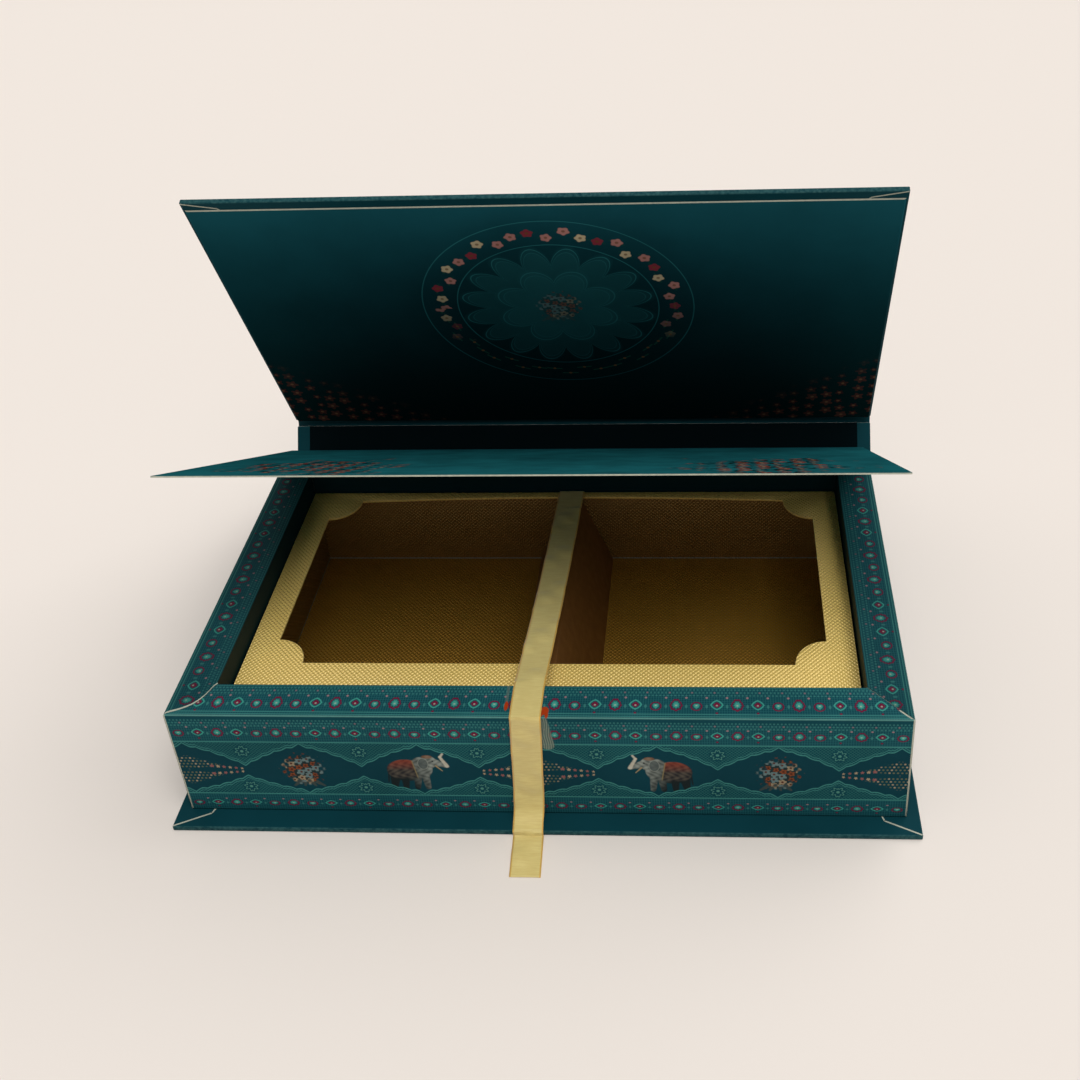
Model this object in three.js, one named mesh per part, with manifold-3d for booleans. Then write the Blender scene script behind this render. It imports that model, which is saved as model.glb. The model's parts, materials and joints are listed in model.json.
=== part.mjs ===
import * as THREE from 'three';
import { mergeVertices } from 'three/addons/utils/BufferGeometryUtils.js';
import Module from 'manifold-3d';

// A book-style invitation box: a hollow-walled tray glued on a base cover, a spine and a lid that
// fold round it on paper hinges, a card leaf over the tray, and a gold insert lifted by a ribbon.
// Millimetres, +Z up, the front towards -Y. The origin is on the underside of the base cover,
// below the middle of the tray.

// Papers and boards
const PAPER = 0.25;
const COVER_BOARD = 1.6;
const WALL_BOARD = 1.8;
const INNER_BOARD = 1.4;
const RIM_BOARD = 1.6;
const GLUE_LINE = 0.2;

// Tray
const TRAY_WIDTH = 300;
const TRAY_DEPTH = 178;
const TRAY_HEIGHT = 56;
const RIM_WIDTH = 17;
const MITRE_GAP = 0.2;

// Base, spine and lid covers
const COVER_SIDE_LIP = 5.5;
const BASE_FRONT_LIP = 9;
const LID_FRONT_LIP = 4;
const TURN_IN = 15;
const SPINE_LINING_INSET = 7;
const LID_LINING_SIDE_INSET = 1.2;
const LID_LINING_EDGE_INSET = 4.5;
const HINGE_GAP = 6.8;
const HINGE_SEAM = 0.3;
const SPINE_CLEARANCE = 1.2;

// Card leaf over the tray
const LEAF_SIDE_INSET = 2;
const LEAF_FRONT_INSET = 10.5;
const LEAF_CARD = 0.6;
const LEAF_CORNER = 1.5;
const LEAF_FOLD_GAP = 0.4;
const LEAF_RIM_CLEARANCE = 0.9;
const LID_LEAF_CLEARANCE = 0.4;
const TAB_CARD = 0.5;
const TAB_HEIGHT = 16;

// Gold insert
const INSERT_CARD = 0.8;
const PLATFORM_CARD = 1.0;
const PLATFORM_RECESS = 12;
const INSERT_CLEARANCE = 0.6;
const RIBBON_SLOT = 1.2;
const WINDOW_SIDE_MARGIN = 12.2;
const WINDOW_FRONT_MARGIN = 23.4;
const WINDOW_REAR_MARGIN = 6.8;
const WINDOW_REAR_BOW = 3;
const CORNER_LOBE = 14;
const DIVIDER_CARD = 0.5;
const DIVIDER_FOOT_WIDTH = 38;
const DIVIDER_TOP_WIDTH = 8;

// Lift ribbon
const RIBBON_WIDTH = 12.7;
const RIBBON_THICKNESS = 0.3;
const RIBBON_CLEARANCE = 0.25;
const RIBBON_FOLD = 0.6;
const RIBBON_SAG = 2.5;
const RIBBON_SWING = 15;
const RIBBON_TAIL = 20;
const RIBBON_REAR_X = 1;
const RIBBON_RIM_X = -2.7;
const RIBBON_TAIL_X = -4.6;

// Angles at which the box stands open, counted from closed
const SPINE_OPEN = THREE.MathUtils.degToRad(31);
const LID_OPEN = THREE.MathUtils.degToRad(34);
const LEAF_OPEN = THREE.MathUtils.degToRad(32.5);

// Levels and places that follow from the sizes
const WRAP_THICKNESS = 2 * PAPER + 2 * GLUE_LINE + COVER_BOARD;
const COVER_THICKNESS = WRAP_THICKNESS + GLUE_LINE + PAPER;
const COVER_WIDTH = TRAY_WIDTH + 2 * COVER_SIDE_LIP;
const TRAY_FOOT = WRAP_THICKNESS + GLUE_LINE;
const RIM_TOP = WRAP_THICKNESS + TRAY_HEIGHT;
const FRONT = -TRAY_DEPTH / 2;
const REAR = TRAY_DEPTH / 2;
const LEAF_PIVOT_Y = REAR + GLUE_LINE + TAB_CARD / 2;
const LEAF_PIVOT_Z = RIM_TOP + LEAF_RIM_CLEARANCE + LEAF_CARD / 2;
const LEAF_WIDTH = TRAY_WIDTH - 2 * LEAF_SIDE_INSET;
const LEAF_DEPTH = LEAF_PIVOT_Y - FRONT - LEAF_FRONT_INSET;
const COVER_REACH = COVER_THICKNESS - PAPER / 2;
const HINGE_Y = REAR + GLUE_LINE + TAB_CARD + SPINE_CLEARANCE + COVER_REACH;
const HINGE_Z = PAPER / 2;
const LID_HINGE_Z = LEAF_PIVOT_Z + LEAF_CARD / 2 + LID_LEAF_CLEARANCE + COVER_REACH;
const SPINE_SPAN = LID_HINGE_Z - HINGE_Z;
const SPINE_DEPTH = SPINE_SPAN - HINGE_GAP;
const BASE_DEPTH = HINGE_Y - HINGE_GAP / 2 - FRONT + BASE_FRONT_LIP;
const LID_DEPTH = HINGE_Y - HINGE_GAP / 2 - FRONT + LID_FRONT_LIP;

const GREYBOARD = { color: 0x8c857a, roughness: 0.92, metalness: 0 };
const TEAL_PAPER = { color: 0x123f49, roughness: 0.42, metalness: 0 };
const TEAL_PRINT = { color: 0x1c4f58, roughness: 0.4, metalness: 0 };
const LEAF_PAPER = { color: 0x14363d, roughness: 0.3, metalness: 0 };
const GOLD_CARD = { color: 0xc79a4a, roughness: 0.36, metalness: 0.6 };
const BROWN_CARD = { color: 0x8a5a1e, roughness: 0.6, metalness: 0.2 };
const GOLD_RIBBON = { color: 0xbfa964, roughness: 0.5, metalness: 0.1 };

const wasm = await Module();
wasm.setup();

function toSolid(geometry) {
  const bare = geometry.clone();
  bare.deleteAttribute('normal');
  bare.deleteAttribute('uv');
  const merged = mergeVertices(bare, 1e-4);
  const mesh = new wasm.Mesh({
    numProp: 3,
    vertProperties: new Float32Array(merged.attributes.position.array),
    triVerts: new Uint32Array(merged.index.array),
  });
  return new wasm.Manifold(mesh);
}

function toGeometry(solid) {
  const mesh = solid.getMesh();
  const geometry = new THREE.BufferGeometry();
  geometry.setAttribute('position', new THREE.BufferAttribute(mesh.vertProperties, 3));
  geometry.setIndex(new THREE.BufferAttribute(mesh.triVerts, 1));
  geometry.computeVertexNormals();
  return geometry;
}

function slab([x0, x1], [y0, y1], [z0, z1]) {
  const geometry = new THREE.BoxGeometry(x1 - x0, y1 - y0, z1 - z0);
  return geometry.translate((x0 + x1) / 2, (y0 + y1) / 2, (z0 + z1) / 2);
}

function centred(width) {
  return [-width / 2, width / 2];
}

// A Y-Z outline drawn out along X, centred on x = 0.
function drawnAlongX(shape, width) {
  const geometry = new THREE.ExtrudeGeometry(shape, { depth: width, bevelEnabled: false });
  geometry.translate(0, 0, -width / 2);
  const turn = new THREE.Matrix4().set(0, 0, 1, 0, 1, 0, 0, 0, 0, 1, 0, 0, 0, 0, 0, 1);
  return geometry.applyMatrix4(turn);
}

// The outline of a thin strip that follows a path on its middle line.
function stripShape(path, thickness) {
  const points = path.getPoints(6).filter((p, i, all) => i === 0 || p.distanceTo(all[i - 1]) > 1e-6);
  const sideAt = (i) => {
    const before = points[Math.max(i - 1, 0)];
    const after = points[Math.min(i + 1, points.length - 1)];
    const along = after.clone().sub(before).normalize();
    return new THREE.Vector2(-along.y, along.x).multiplyScalar(thickness / 2);
  };
  const left = points.map((p, i) => p.clone().add(sideAt(i)));
  const right = points.map((p, i) => p.clone().sub(sideAt(i)));
  return new THREE.Shape([...right, ...left.reverse()]);
}

function piece(name, geometry, finish) {
  const mesh = new THREE.Mesh(geometry, new THREE.MeshStandardMaterial(finish));
  mesh.name = name;
  return mesh;
}

// A thin cut at 45 degrees where two turned-in flaps of a wrap meet at a front corner.
function mitreCut(width, side) {
  const past = 1;
  const reach = [2 * PAPER, TURN_IN * Math.SQRT2 + past];
  const cut = slab(centred(MITRE_GAP), reach, [WRAP_THICKNESS - PAPER - GLUE_LINE, WRAP_THICKNESS + past]);
  cut.rotateZ(side * Math.PI / 4);
  return toSolid(cut.translate(side * width / 2, 0, 0));
}

// A cover's paper wrap, outer face down: it runs under the board, folds round its edges and turns
// in over the rim of its upper face. The hinge edge, at the far end, stays open for the fold.
function coverWrap(width, depth, foldedFront) {
  const past = 1;
  const inner = foldedFront ? PAPER : -past;
  const lip = foldedFront ? TURN_IN : -past;
  const body = toSolid(slab(centred(width), [0, depth], [0, WRAP_THICKNESS]));
  const room = slab(
    centred(width - 2 * PAPER), [inner, depth + past], [PAPER, WRAP_THICKNESS - PAPER]);
  const window = slab(
    centred(width - 2 * TURN_IN), [lip, depth + past], [2 * PAPER, WRAP_THICKNESS + past]);
  const folded = body.subtract(toSolid(room)).subtract(toSolid(window));
  if (!foldedFront) return toGeometry(folded);
  return toGeometry(folded.subtract(mitreCut(width, -1)).subtract(mitreCut(width, 1)));
}

function coverBoard(width, depth, foldedFront) {
  const edge = PAPER + GLUE_LINE;
  const front = foldedFront ? edge : 0;
  return slab(centred(width - 2 * edge), [front, depth], [edge, edge + COVER_BOARD]);
}

function coverLining(width, depth, sideInset, frontInset) {
  const level = WRAP_THICKNESS + GLUE_LINE;
  return slab(centred(width - 2 * sideInset), [frontInset, depth], [level, level + PAPER]);
}

// Base cover: board, wrap and the sheet that fills the wrap's turned-in border.
function makeBase() {
  const base = new THREE.Group();
  base.position.y = FRONT - BASE_FRONT_LIP;
  const edge = TURN_IN + GLUE_LINE;
  const sheet = slab(
    centred(COVER_WIDTH - 2 * edge), [edge, BASE_DEPTH], [WRAP_THICKNESS - PAPER, WRAP_THICKNESS]);
  base.add(
    piece('base_board', coverBoard(COVER_WIDTH, BASE_DEPTH, true), GREYBOARD),
    piece('base_wrap', coverWrap(COVER_WIDTH, BASE_DEPTH, true), TEAL_PAPER),
    piece('base_lining', sheet, TEAL_PAPER),
  );
  return base;
}

// One printed sheet over a tray side: up the outer wall, across the rim and down the inner wall,
// with its ends mitred at 45 degrees.
function sideWrap(length) {
  const outline = new THREE.Shape([
    new THREE.Vector2(0, TRAY_FOOT),
    new THREE.Vector2(PAPER, TRAY_FOOT),
    new THREE.Vector2(PAPER, RIM_TOP - PAPER),
    new THREE.Vector2(RIM_WIDTH - PAPER, RIM_TOP - PAPER),
    new THREE.Vector2(RIM_WIDTH - PAPER, TRAY_FOOT),
    new THREE.Vector2(RIM_WIDTH, TRAY_FOOT),
    new THREE.Vector2(RIM_WIDTH, RIM_TOP),
    new THREE.Vector2(0, RIM_TOP),
  ]);
  const past = 1;
  const half = length / 2 - MITRE_GAP / 2;
  const plan = new THREE.Shape([
    new THREE.Vector2(-half - past, -past),
    new THREE.Vector2(half + past, -past),
    new THREE.Vector2(half - RIM_WIDTH - past, RIM_WIDTH + past),
    new THREE.Vector2(-half + RIM_WIDTH + past, RIM_WIDTH + past),
  ]);
  const mitre = new THREE.ExtrudeGeometry(plan, { depth: RIM_TOP + past, bevelEnabled: false });
  return toGeometry(toSolid(drawnAlongX(outline, length)).intersect(toSolid(mitre)));
}

// A tray side seen from inside: its outer board, inner board, rim board and printed wrap. The long
// sides' boards run the full length, and the short sides' boards butt between them.
function makeSide(name, length, butted) {
  const skin = PAPER + GLUE_LINE;
  const rimBottom = RIM_TOP - skin - RIM_BOARD;
  const wallTop = rimBottom - GLUE_LINE;
  const innerFace = RIM_WIDTH - skin;
  const outerLength = length - 2 * (butted ? skin + WALL_BOARD + GLUE_LINE : skin);
  const innerLength = length - 2 * (butted ? innerFace + GLUE_LINE : innerFace - INNER_BOARD);
  const rimLength = length - 2 * (butted ? innerFace + GLUE_LINE : skin);
  const outer = slab(centred(outerLength), [skin, skin + WALL_BOARD], [TRAY_FOOT, wallTop]);
  const inner = slab(centred(innerLength), [innerFace - INNER_BOARD, innerFace], [TRAY_FOOT, wallTop]);
  const rim = slab(centred(rimLength), [skin, innerFace], [rimBottom, rimBottom + RIM_BOARD]);
  const side = new THREE.Group();
  side.add(
    piece(`${name}_wall_board`, outer, GREYBOARD),
    piece(`${name}_inner_board`, inner, GREYBOARD),
    piece(`${name}_rim_board`, rim, GREYBOARD),
    piece(`${name}_wrap`, sideWrap(length), TEAL_PRINT),
  );
  return side;
}

function makeTray() {
  const tray = new THREE.Group();
  const front = makeSide('front', TRAY_WIDTH, false);
  front.position.y = FRONT;
  const rear = makeSide('rear', TRAY_WIDTH, false);
  rear.position.y = REAR;
  rear.rotation.z = Math.PI;
  const left = makeSide('left', TRAY_DEPTH, true);
  left.position.x = -TRAY_WIDTH / 2;
  left.rotation.z = -Math.PI / 2;
  const right = makeSide('right', TRAY_DEPTH, true);
  right.position.x = TRAY_WIDTH / 2;
  right.rotation.z = Math.PI / 2;
  tray.add(front, rear, left, right);
  return tray;
}

// The leaf's glued tab, below its fold on the back of the tray.
function makeLeafTab() {
  const top = LEAF_PIVOT_Z - LEAF_FOLD_GAP - LEAF_CARD / 2;
  const face = REAR + GLUE_LINE;
  const tab = slab(centred(LEAF_WIDTH), [face, face + TAB_CARD], [top - TAB_HEIGHT, top]);
  return piece('leaf_tab', tab, LEAF_PAPER);
}

// The leaf in its own frame: the fold on the X axis, the card towards -Y.
function makeLeaf() {
  const half = LEAF_WIDTH / 2;
  const r = LEAF_CORNER;
  const outline = new THREE.Shape();
  outline.moveTo(half, -LEAF_FOLD_GAP);
  outline.lineTo(-half, -LEAF_FOLD_GAP);
  outline.lineTo(-half, r - LEAF_DEPTH);
  outline.absarc(r - half, r - LEAF_DEPTH, r, Math.PI, 1.5 * Math.PI, false);
  outline.absarc(half - r, r - LEAF_DEPTH, r, 1.5 * Math.PI, 2 * Math.PI, false);
  const card = new THREE.ExtrudeGeometry(
    outline, { depth: LEAF_CARD, bevelEnabled: false, curveSegments: 4 });
  card.translate(0, 0, -LEAF_CARD / 2);
  const leaf = new THREE.Group();
  leaf.position.set(0, LEAF_PIVOT_Y, LEAF_PIVOT_Z);
  leaf.rotation.x = -LEAF_OPEN;
  leaf.add(piece('leaf_card', card, LEAF_PAPER));
  return leaf;
}

// A strip of wrap paper across a hinge gap: it leaves one cover along +Y and bends up to the next.
function hingeStrip(bend) {
  const reach = HINGE_GAP / 2 - HINGE_SEAM;
  const radius = reach / Math.tan(bend / 2);
  const path = new THREE.Path();
  path.absarc(-reach, radius, radius, -Math.PI / 2, bend - Math.PI / 2, false);
  return drawnAlongX(stripShape(path, PAPER), COVER_WIDTH);
}

// The spine in its own frame: the lower hinge on the X axis, the board towards +Z, its outer face
// towards +Y. It carries the upper hinge strip and the lid.
function makeSpine() {
  const place = (geometry) => {
    geometry.rotateX(Math.PI / 2);
    return geometry.translate(0, PAPER / 2, HINGE_GAP / 2);
  };
  const spine = new THREE.Group();
  spine.position.set(0, HINGE_Y, HINGE_Z);
  spine.rotation.x = -SPINE_OPEN;
  const upperStrip = hingeStrip(Math.PI / 2 - LID_OPEN);
  upperStrip.rotateX(Math.PI / 2);
  upperStrip.translate(0, 0, SPINE_SPAN);
  spine.add(
    piece('spine_board', place(coverBoard(COVER_WIDTH, SPINE_DEPTH, false)), GREYBOARD),
    piece('spine_wrap', place(coverWrap(COVER_WIDTH, SPINE_DEPTH, false)), TEAL_PAPER),
    piece('spine_lining', place(coverLining(COVER_WIDTH, SPINE_DEPTH, SPINE_LINING_INSET, 0)), TEAL_PAPER),
    piece('upper_hinge_strip', upperStrip, TEAL_PAPER),
    makeLid(),
  );
  return spine;
}

function makeLowerStrip() {
  const strip = hingeStrip(Math.PI / 2 - SPINE_OPEN);
  strip.translate(0, HINGE_Y, HINGE_Z);
  return piece('lower_hinge_strip', strip, TEAL_PAPER);
}

// The lid in its own frame: the upper hinge on the X axis, the board towards -Y, its outer face up.
function makeLid() {
  const place = (geometry) => {
    geometry.rotateY(Math.PI);
    return geometry.translate(0, -HINGE_GAP / 2 - LID_DEPTH, PAPER / 2);
  };
  const lid = new THREE.Group();
  lid.position.z = SPINE_SPAN;
  lid.rotation.x = -LID_OPEN;
  const lining = coverLining(COVER_WIDTH, LID_DEPTH, LID_LINING_SIDE_INSET, LID_LINING_EDGE_INSET);
  lid.add(
    piece('lid_board', place(coverBoard(COVER_WIDTH, LID_DEPTH, true)), GREYBOARD),
    piece('lid_wrap', place(coverWrap(COVER_WIDTH, LID_DEPTH, true)), TEAL_PAPER),
    piece('lid_lining', place(lining), TEAL_PRINT),
  );
  return lid;
}

// The platform's window: a rectangle whose corners are bitten by round gold lobes, with a rear
// edge that bows out between them.
function platformWindow([x0, x1], [y0, y1]) {
  const r = CORNER_LOBE;
  const window = new THREE.Path();
  window.moveTo(x0 + r, y0);
  window.lineTo(x1 - r, y0);
  window.absarc(x1, y0, r, Math.PI, Math.PI / 2, true);
  window.lineTo(x1, y1 - r);
  window.absarc(x1, y1, r, 1.5 * Math.PI, Math.PI, true);
  window.quadraticCurveTo((x0 + x1) / 2, y1 + 2 * WINDOW_REAR_BOW, x0 + r, y1);
  window.absarc(x0, y1, r, 0, -Math.PI / 2, true);
  window.lineTo(x0, y0 + r);
  window.absarc(x0, y0, r, Math.PI / 2, 0, true);
  return window;
}

// The gold insert: a floor, four walls, the platform with its window, and a folded tent that parts
// the two compartments.
function makeInsert() {
  const halfX = TRAY_WIDTH / 2 - RIM_WIDTH - INSERT_CLEARANCE;
  const y0 = FRONT + RIM_WIDTH + INSERT_CLEARANCE;
  const y1 = REAR - RIM_WIDTH - RIBBON_SLOT;
  const top = RIM_TOP - PLATFORM_RECESS;
  const under = top - PLATFORM_CARD;
  const floorTop = TRAY_FOOT + INSERT_CARD;
  const wallSpan = [floorTop + GLUE_LINE, under - GLUE_LINE];
  const across = [-halfX, halfX];
  const inside = [y0 + INSERT_CARD + GLUE_LINE, y1 - INSERT_CARD - GLUE_LINE];

  const sheet = new THREE.Shape();
  sheet.moveTo(-halfX, y0);
  sheet.lineTo(halfX, y0);
  sheet.lineTo(halfX, y1);
  sheet.lineTo(-halfX, y1);
  sheet.holes.push(platformWindow(
    [WINDOW_SIDE_MARGIN - halfX, halfX - WINDOW_SIDE_MARGIN],
    [y0 + WINDOW_FRONT_MARGIN, y1 - WINDOW_REAR_MARGIN],
  ));
  const platform = new THREE.ExtrudeGeometry(
    sheet, { depth: PLATFORM_CARD, bevelEnabled: false, curveSegments: 8 });
  platform.translate(0, 0, under);

  const foot = DIVIDER_FOOT_WIDTH / 2;
  const ridge = DIVIDER_TOP_WIDTH / 2;
  const tentHeight = wallSpan[1] - wallSpan[0];
  const slant = DIVIDER_CARD * Math.hypot(tentHeight, foot - ridge) / tentHeight;
  const tent = new THREE.Shape([
    new THREE.Vector2(-foot, wallSpan[0]),
    new THREE.Vector2(slant - foot, wallSpan[0]),
    new THREE.Vector2(slant - ridge, wallSpan[1] - DIVIDER_CARD),
    new THREE.Vector2(ridge - slant, wallSpan[1] - DIVIDER_CARD),
    new THREE.Vector2(foot - slant, wallSpan[0]),
    new THREE.Vector2(foot, wallSpan[0]),
    new THREE.Vector2(ridge, wallSpan[1]),
    new THREE.Vector2(-ridge, wallSpan[1]),
  ]);
  const divider = new THREE.ExtrudeGeometry(
    tent, { depth: inside[1] - inside[0], bevelEnabled: false });
  divider.rotateX(Math.PI / 2);
  divider.translate(0, inside[1], 0);

  const insert = new THREE.Group();
  insert.add(
    piece('insert_floor', slab(across, [y0, y1], [TRAY_FOOT, floorTop]), GOLD_CARD),
    piece('insert_front_wall', slab(across, [y0, y0 + INSERT_CARD], wallSpan), GOLD_CARD),
    piece('insert_rear_wall', slab(across, [y1 - INSERT_CARD, y1], wallSpan), GOLD_CARD),
    piece('insert_left_wall', slab([-halfX, INSERT_CARD - halfX], inside, wallSpan), GOLD_CARD),
    piece('insert_right_wall', slab([halfX - INSERT_CARD, halfX], inside, wallSpan), GOLD_CARD),
    piece('gold_platform', platform, GOLD_CARD),
    piece('tent_divider', divider, BROWN_CARD),
  );
  return insert;
}

// The lift ribbon: glued down behind the insert, it comes up through the slot, folds forward over
// the platform, runs to the front rim and over it, and hangs down to lie before the base.
function makeRibbon() {
  const middle = RIBBON_CLEARANCE + RIBBON_THICKNESS / 2;
  const fold = RIBBON_FOLD;
  const slotY = REAR - RIM_WIDTH - RIBBON_SLOT / 2;
  const platformZ = RIM_TOP - PLATFORM_RECESS + middle;
  const rimY = FRONT + RIM_WIDTH;
  const rimZ = RIM_TOP + middle;
  const hangY = FRONT - middle;
  const lipY = FRONT - BASE_FRONT_LIP;
  const lipZ = WRAP_THICKNESS + middle;
  const floorZ = RIBBON_THICKNESS / 2;
  const path = new THREE.Path();
  path.moveTo(slotY, TRAY_FOOT);
  path.lineTo(slotY, platformZ - fold);
  path.absarc(slotY - fold, platformZ - fold, fold, 0, Math.PI / 2, false);
  path.quadraticCurveTo(0, (platformZ + rimZ) / 2 - 2 * RIBBON_SAG, rimY + fold, rimZ);
  path.lineTo(hangY + fold, rimZ);
  path.absarc(hangY + fold, rimZ - fold, fold, Math.PI / 2, Math.PI, false);
  path.lineTo(hangY, lipZ + RIBBON_SWING);
  path.quadraticCurveTo(hangY, lipZ, lipY, lipZ);
  path.absarc(lipY, WRAP_THICKNESS, middle, Math.PI / 2, Math.PI, false);
  path.lineTo(lipY - middle, floorZ + fold);
  path.absarc(lipY - middle - fold, floorZ + fold, fold, 0, -Math.PI / 2, true);
  path.lineTo(lipY - RIBBON_TAIL, floorZ);

  const strip = drawnAlongX(stripShape(path, RIBBON_THICKNESS), RIBBON_WIDTH);
  const place = strip.attributes.position;
  for (let i = 0; i < place.count; i += 1) {
    const run = THREE.MathUtils.clamp((slotY - place.getY(i)) / (slotY - hangY), 0, 1);
    const drop = run < 1 ? 0 : THREE.MathUtils.clamp((rimZ - place.getZ(i)) / rimZ, 0, 1);
    const drift = THREE.MathUtils.lerp(RIBBON_REAR_X, RIBBON_RIM_X, run);
    place.setX(i, place.getX(i) + drift + drop * (RIBBON_TAIL_X - RIBBON_RIM_X));
  }
  strip.computeVertexNormals();
  return piece('lift_ribbon', strip, GOLD_RIBBON);
}

const invitationBox = new THREE.Group();
invitationBox.add(
  makeBase(),
  makeTray(),
  makeLeafTab(),
  makeLeaf(),
  makeInsert(),
  makeRibbon(),
  makeLowerStrip(),
  makeSpine(),
);

export default invitationBox;
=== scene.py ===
import itertools
import json
import math

import bmesh
import bpy
from mathutils import Matrix, Vector


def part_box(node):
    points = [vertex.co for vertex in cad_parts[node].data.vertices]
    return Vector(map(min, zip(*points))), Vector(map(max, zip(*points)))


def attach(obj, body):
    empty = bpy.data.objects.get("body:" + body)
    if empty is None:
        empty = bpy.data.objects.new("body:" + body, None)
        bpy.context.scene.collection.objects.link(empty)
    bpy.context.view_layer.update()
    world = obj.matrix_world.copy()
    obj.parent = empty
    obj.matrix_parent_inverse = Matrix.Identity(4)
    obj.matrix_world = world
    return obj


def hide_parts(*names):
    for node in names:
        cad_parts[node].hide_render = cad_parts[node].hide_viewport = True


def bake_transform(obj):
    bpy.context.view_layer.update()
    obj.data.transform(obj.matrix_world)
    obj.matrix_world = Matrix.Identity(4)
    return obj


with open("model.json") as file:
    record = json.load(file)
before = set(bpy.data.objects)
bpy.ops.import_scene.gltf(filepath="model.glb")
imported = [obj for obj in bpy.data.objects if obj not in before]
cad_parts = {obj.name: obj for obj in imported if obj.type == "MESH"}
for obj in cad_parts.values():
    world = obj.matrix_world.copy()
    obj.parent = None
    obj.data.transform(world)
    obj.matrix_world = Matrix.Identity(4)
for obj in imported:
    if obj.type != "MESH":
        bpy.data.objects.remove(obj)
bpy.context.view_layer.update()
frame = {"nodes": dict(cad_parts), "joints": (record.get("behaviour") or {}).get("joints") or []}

# The room is a plain pale floor before a backdrop of the same paint, under a studio sky that is bright
# overhead and dim at the horizon. One broad lamp stands high before the box, and one behind it on the right
# throws its shadow to the front left.
FLOOR_SPAN = 12.0
FLOOR_INK = "EBE2DA"
BACKDROP_INK = "F2E8DF"
SKY_FOOT = 0.18
SKY_CROWN = 0.5
SKY_TINT = (1.0, 0.985, 0.965, 1.0)
LAMPS = {
    "front_lamp": (1.65, math.radians(40), (math.radians(22), math.radians(10), 0.0)),
    "back_lamp": (0.8, math.radians(50), (math.radians(-27), math.radians(31), 0.0)),
}


def ink(code):
    """Linear colour of a six-digit screen colour."""
    shares = [int(code[i:i + 2], 16) / 255 for i in (0, 2, 4)]
    return (*[s / 12.92 if s <= 0.04045 else ((s + 0.055) / 1.055) ** 2.4 for s in shares], 1.0)


def surface(name, **values):
    """A material with one Principled shader and the named values on its sockets."""
    material = bpy.data.materials.new(name)
    material.use_nodes = True
    shader = material.node_tree.nodes["Principled BSDF"]
    for label, value in values.items():
        shader.inputs[label.replace("_", " ")].default_value = value
    return material, material.node_tree, shader


scene = bpy.context.scene
scene.view_settings.view_transform = "Standard"
scene.world = bpy.data.worlds.new("pale_sky")
scene.world.use_nodes = True
sky_tree = scene.world.node_tree
sky = sky_tree.nodes["Background"]
sky.inputs["Color"].default_value = SKY_TINT
sky_way = sky_tree.nodes.new("ShaderNodeSeparateXYZ")
sky_rise = sky_tree.nodes.new("ShaderNodeMapRange")
sky_rise.inputs["To Min"].default_value = SKY_FOOT
sky_rise.inputs["To Max"].default_value = SKY_CROWN
sky_tree.links.new(sky_tree.nodes.new("ShaderNodeTexCoord").outputs["Generated"], sky_way.inputs["Vector"])
sky_tree.links.new(sky_way.outputs["Z"], sky_rise.inputs["Value"])
sky_tree.links.new(sky_rise.outputs["Result"], sky.inputs["Strength"])
backdrop = sky_tree.nodes.new("ShaderNodeBackground")
backdrop.inputs["Color"].default_value = ink(BACKDROP_INK)
paths = sky_tree.nodes.new("ShaderNodeLightPath")
seen = paths.outputs["Is Camera Ray"]
for kind in ("Is Glossy Ray", "Is Transmission Ray"):
    either = sky_tree.nodes.new("ShaderNodeMath")
    either.operation = "MAXIMUM"
    sky_tree.links.new(seen, either.inputs[0])
    sky_tree.links.new(paths.outputs[kind], either.inputs[1])
    seen = either.outputs["Value"]
room_mix = sky_tree.nodes.new("ShaderNodeMixShader")
sky_tree.links.new(seen, room_mix.inputs[0])
sky_tree.links.new(sky.outputs["Background"], room_mix.inputs[1])
sky_tree.links.new(backdrop.outputs["Background"], room_mix.inputs[2])
sky_tree.links.new(room_mix.outputs["Shader"], sky_tree.nodes["World Output"].inputs["Surface"])

for name, (strength, angle, tilt) in LAMPS.items():
    lamp = bpy.data.lights.new(name, "SUN")
    lamp.energy = strength
    lamp.angle = angle
    lamp_stand = bpy.data.objects.new(name, lamp)
    lamp_stand.rotation_euler = tilt
    scene.collection.objects.link(lamp_stand)

shape = bmesh.new()
bmesh.ops.create_grid(shape, x_segments=1, y_segments=1, size=FLOOR_SPAN / 2)
floor_mesh = bpy.data.meshes.new("floor")
shape.to_mesh(floor_mesh)
shape.free()
floor_paint, _, _ = surface("floor_paint", Base_Color=ink(FLOOR_INK), Roughness=1.0, Specular_IOR_Level=0.0)
floor_mesh.materials.append(floor_paint)
floor = bpy.data.objects.new("floor", floor_mesh)
scene.collection.objects.link(floor)

# The camera stands before the box and a little to its right, above the lid's height, and looks down
# into the tray. Its shift keeps the photograph's framing.
CAMERA_PLACE = Vector((0.0752, -0.4457, 0.4461))
CAMERA_PITCH = math.radians(30.0)
CAMERA_YAW = math.radians(-4.03)
CAMERA_ROLL = math.radians(-2.70)
PHOTO_SIDE = 1080
FOCAL_PIXELS = 1280.7
PRINCIPAL_POINT = (640, 320)
SENSOR = 36.0
CLIP_START = 0.01

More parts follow.
